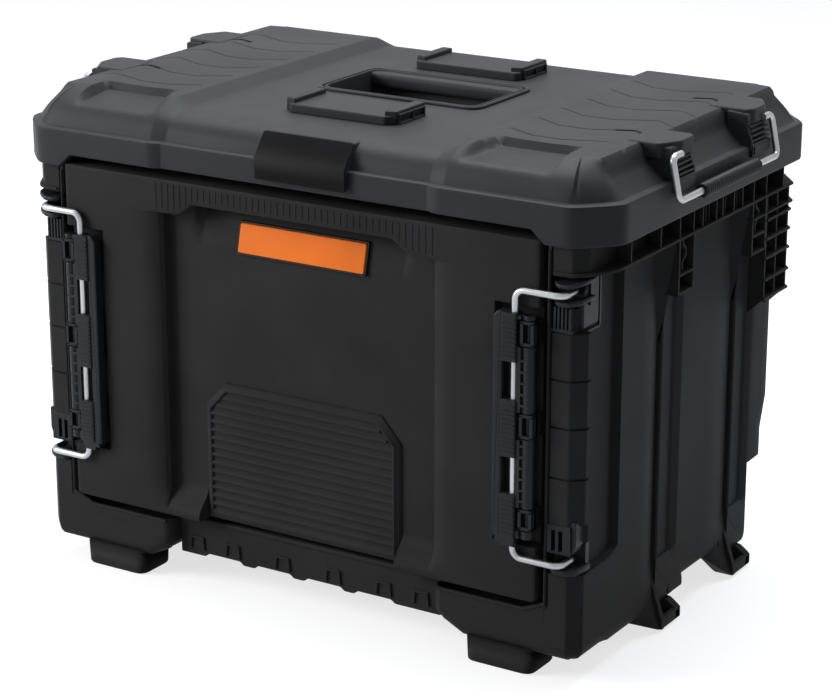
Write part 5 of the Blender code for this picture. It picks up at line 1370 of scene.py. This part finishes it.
def wire(name, corners, bend, body, node):
    """A round wire through the corners, as a curve with a bevel."""
    path = bent([tuple(v * MM for v in c) for c in corners], bend * MM)
    curve = bpy.data.curves.new(name, "CURVE")
    curve.dimensions = "3D"
    curve.bevel_depth = WIRE_RADIUS * MM
    curve.bevel_resolution = 5
    curve.use_fill_caps = True
    spline = curve.splines.new("POLY")
    spline.points.add(len(path) - 1)
    for point, spot in zip(spline.points, path):
        point.co = (*spot, 1)
    spline.use_smooth = True
    piece = bpy.data.objects.new(name, curve)
    scene.collection.objects.link(piece)
    curve.materials.append(zinc_wire)
    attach(piece, body)
    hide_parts(node)


for side, sign in SIDES:
    low, high = WIRE_HEIGHTS[0] - WIRE_DROP, WIRE_HEIGHTS[1]
    latch_path = ((TIP_X, TIP_Y, high), (TIP_X, WIRE_Y, high), (WIRE_X, WIRE_Y, high),
                  (WIRE_X, WIRE_Y, low), (TIP_X, WIRE_Y, low), (TIP_X, TIP_Y, low))
    wire(side + "_wire", [(sign * x, y, z) for x, y, z in latch_path], LATCH_BEND,
         side + "_wire", side + "_latch_wire")
    (pivot_x, pivot_z), (bar_x, bar_z) = BAIL_PIVOT, BAIL_BAR
    half_path = [(pivot_x, BAIL_HALF - STUB, pivot_z), (pivot_x, BAIL_HALF, pivot_z),
                 (bar_x, BAIL_HALF, bar_z)]
    bail_path = half_path + [(x, -y, z) for x, y, z in half_path[::-1]]
    wire(side + "_bail_wire", [(sign * x, MID + y, z) for x, y, z in bail_path], BAIL_BEND,
         side + "_bail", side + "_bail")

# %% Bail grips
GRIP_HALF, GRIP_RINGS = 49.5, 26
RING_SHAPE = ((0, 4.9), (0.25, 5.7), (0.5, 6.0), (0.75, 5.7))


def grip(side, sign):
    """A tube wound with close rings, like a spring of plastic."""
    mould = Mould()
    length = 2 * GRIP_HALF
    outline = [(-49.8, 3.0), (-49.8, 4.4)]
    for k in range(GRIP_RINGS):
        outline += [(-GRIP_HALF + length * k / GRIP_RINGS + part * (length / GRIP_RINGS), radius)
                    for part, radius in RING_SHAPE]
    outline += [(GRIP_HALF, 4.9), (49.8, 4.4), (49.8, 3.0)]
    turns = np.linspace(0, 2 * pi, 21)[:-1]
    x, z = BAIL_BAR
    rings = [[(sign * x + r * cos(a), MID + y, z + r * sin(a)) for a in turns] for y, r in outline]
    mould.skin(np.array(rings[::-1]), loop=True)
    make_piece(side + "_grip", mould, latch_plastic, side + "_bail", [side + "_bail_grip"],
               slot="latch", smooth=50)


for side, sign in SIDES:
    grip(side, sign)

# %% Keepers
FINGER = [(236, -164), (236, -182), (241, -186.4), (252, -186.6), (259.4, -182), (261.6, -172), (261.6, -163)]
FINGER_ROUND, SWAY_AT = [0, 4, 3, 4, 4, 3, 0], [236, 243, 250, 258, 264]
SIDE_PLATE = [(-174, 289.5), (-150, 289.5), (-150, 326.5), (-166, 326.5), (-174, 316)]
LOWER_WEDGE = [(252.4, 107.6), (255.4, 109.5), (258.6, 117), (258.6, 135.6), (255.0, 136.4), (253.0, 133)]
LOWER_TOP = 132.4


def finger(mould, sign, low, high, sway):
    """A level finger round the wire's tail and the post's corner; sway lifts it along its length."""

    def swayed(x, y, z):
        return x, y, z + float(np.interp(abs(x) + 0.4 * max(0, y + 182), SWAY_AT, sway))

    slab(mould, handed(rounded(FINGER, FINGER_ROUND, 4), sign), "z", low, high, 1.6, 3, place=swayed)


def upper_keeper(mould, sign, height):
    """Two fingers, a side plate with its border, and upright fins on a sill below."""
    block = partial(sided_bar, mould, sign)
    finger(mould, sign, height + 5.2, height + 9.4, [0, -1.5, -1.2, 1.2, 2.0])
    finger(mould, sign, height - 9.4, height - 5.0, [0, -1.0, -0.6, 1.4, 2.4])
    slab(mould, rounded(SIDE_PLATE, 1.5), "x", *reach(sign, 250, 257.4), 0.8)
    for y, z in (((-147.6, -145.4), (284.6, 327)), ((-172, -145.6), (284.4, 286.6))):
        block((250, 257.0), y, z, 0.5)
    for x in (237.4, 240.6, 243.8, 247.0, 250.2):
        block((x - 0.8, x + 0.8), (-182.6, -176), (288.4, 306.5), 0.4)
    block((234.6, 253), (-182.8, -177), (286.4, 289.4), 0.6)


def lower_keeper(mould, sign, height):
    """One finger under the wire, and a frame of three uprights with a wedge beside it above."""
    block = partial(sided_bar, mould, sign)
    foot = height + 3.9
    finger(mould, sign, height - 12.4, height - 6.8, [0.4, 0, 0, 0.6, 1.0])
    for x in ((234.6, 238.0), (241.6, 244.4), (248.0, 254.6)):
        block(x, (-183.6, -172), (foot, LOWER_TOP), 0.8)
    for z in ((foot, 110.8), (127.0, LOWER_TOP)):
        block((234.6, 254.6), (-183.4, -172), z, 0.8)
    block((235, 254), (-176, -163), (height + 4.2, 131.5), 0.6)
    slab(mould, handed(rounded(LOWER_WEDGE, 1.2), sign), "y", -181.6, -168, 0.8)


def keeper(side, sign, height, place):
    """A back plate with what stands on it: fingers round the wire's tail, walls and fins."""
    mould = Mould()
    sided_bar(mould, sign, (231.4, 259), (-166, -160.8), (height - 11.6, height + 11.6), 0.8)
    (upper_keeper if place == "upper" else lower_keeper)(mould, sign, height)
    make_piece(f"{side}_{place}_keeper_block", mould, latch_plastic, "chest", [f"{side}_{place}_keeper"],
               slot="latch")


for side, sign in SIDES:
    keeper(side, sign, WIRE_HEIGHTS[1], "upper")
    keeper(side, sign, WIRE_HEIGHTS[0], "lower")

# %% [markdown]
# ## What stays as CAD
# The lever pins, the lid screws and the two seals are already right as solids. They keep their meshes and
# only take a finish.

# %% Finishes for the kept solids
kept = {"pin": pin_black, "screw": screw_steel, "seal": seal_rubber}
for name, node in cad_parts.items():
    for word, material in kept.items():
        if word in name:
            node.data.materials.clear()
            node.data.materials.append(material)
print("kept", [n for n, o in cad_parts.items() if not o.hide_render])
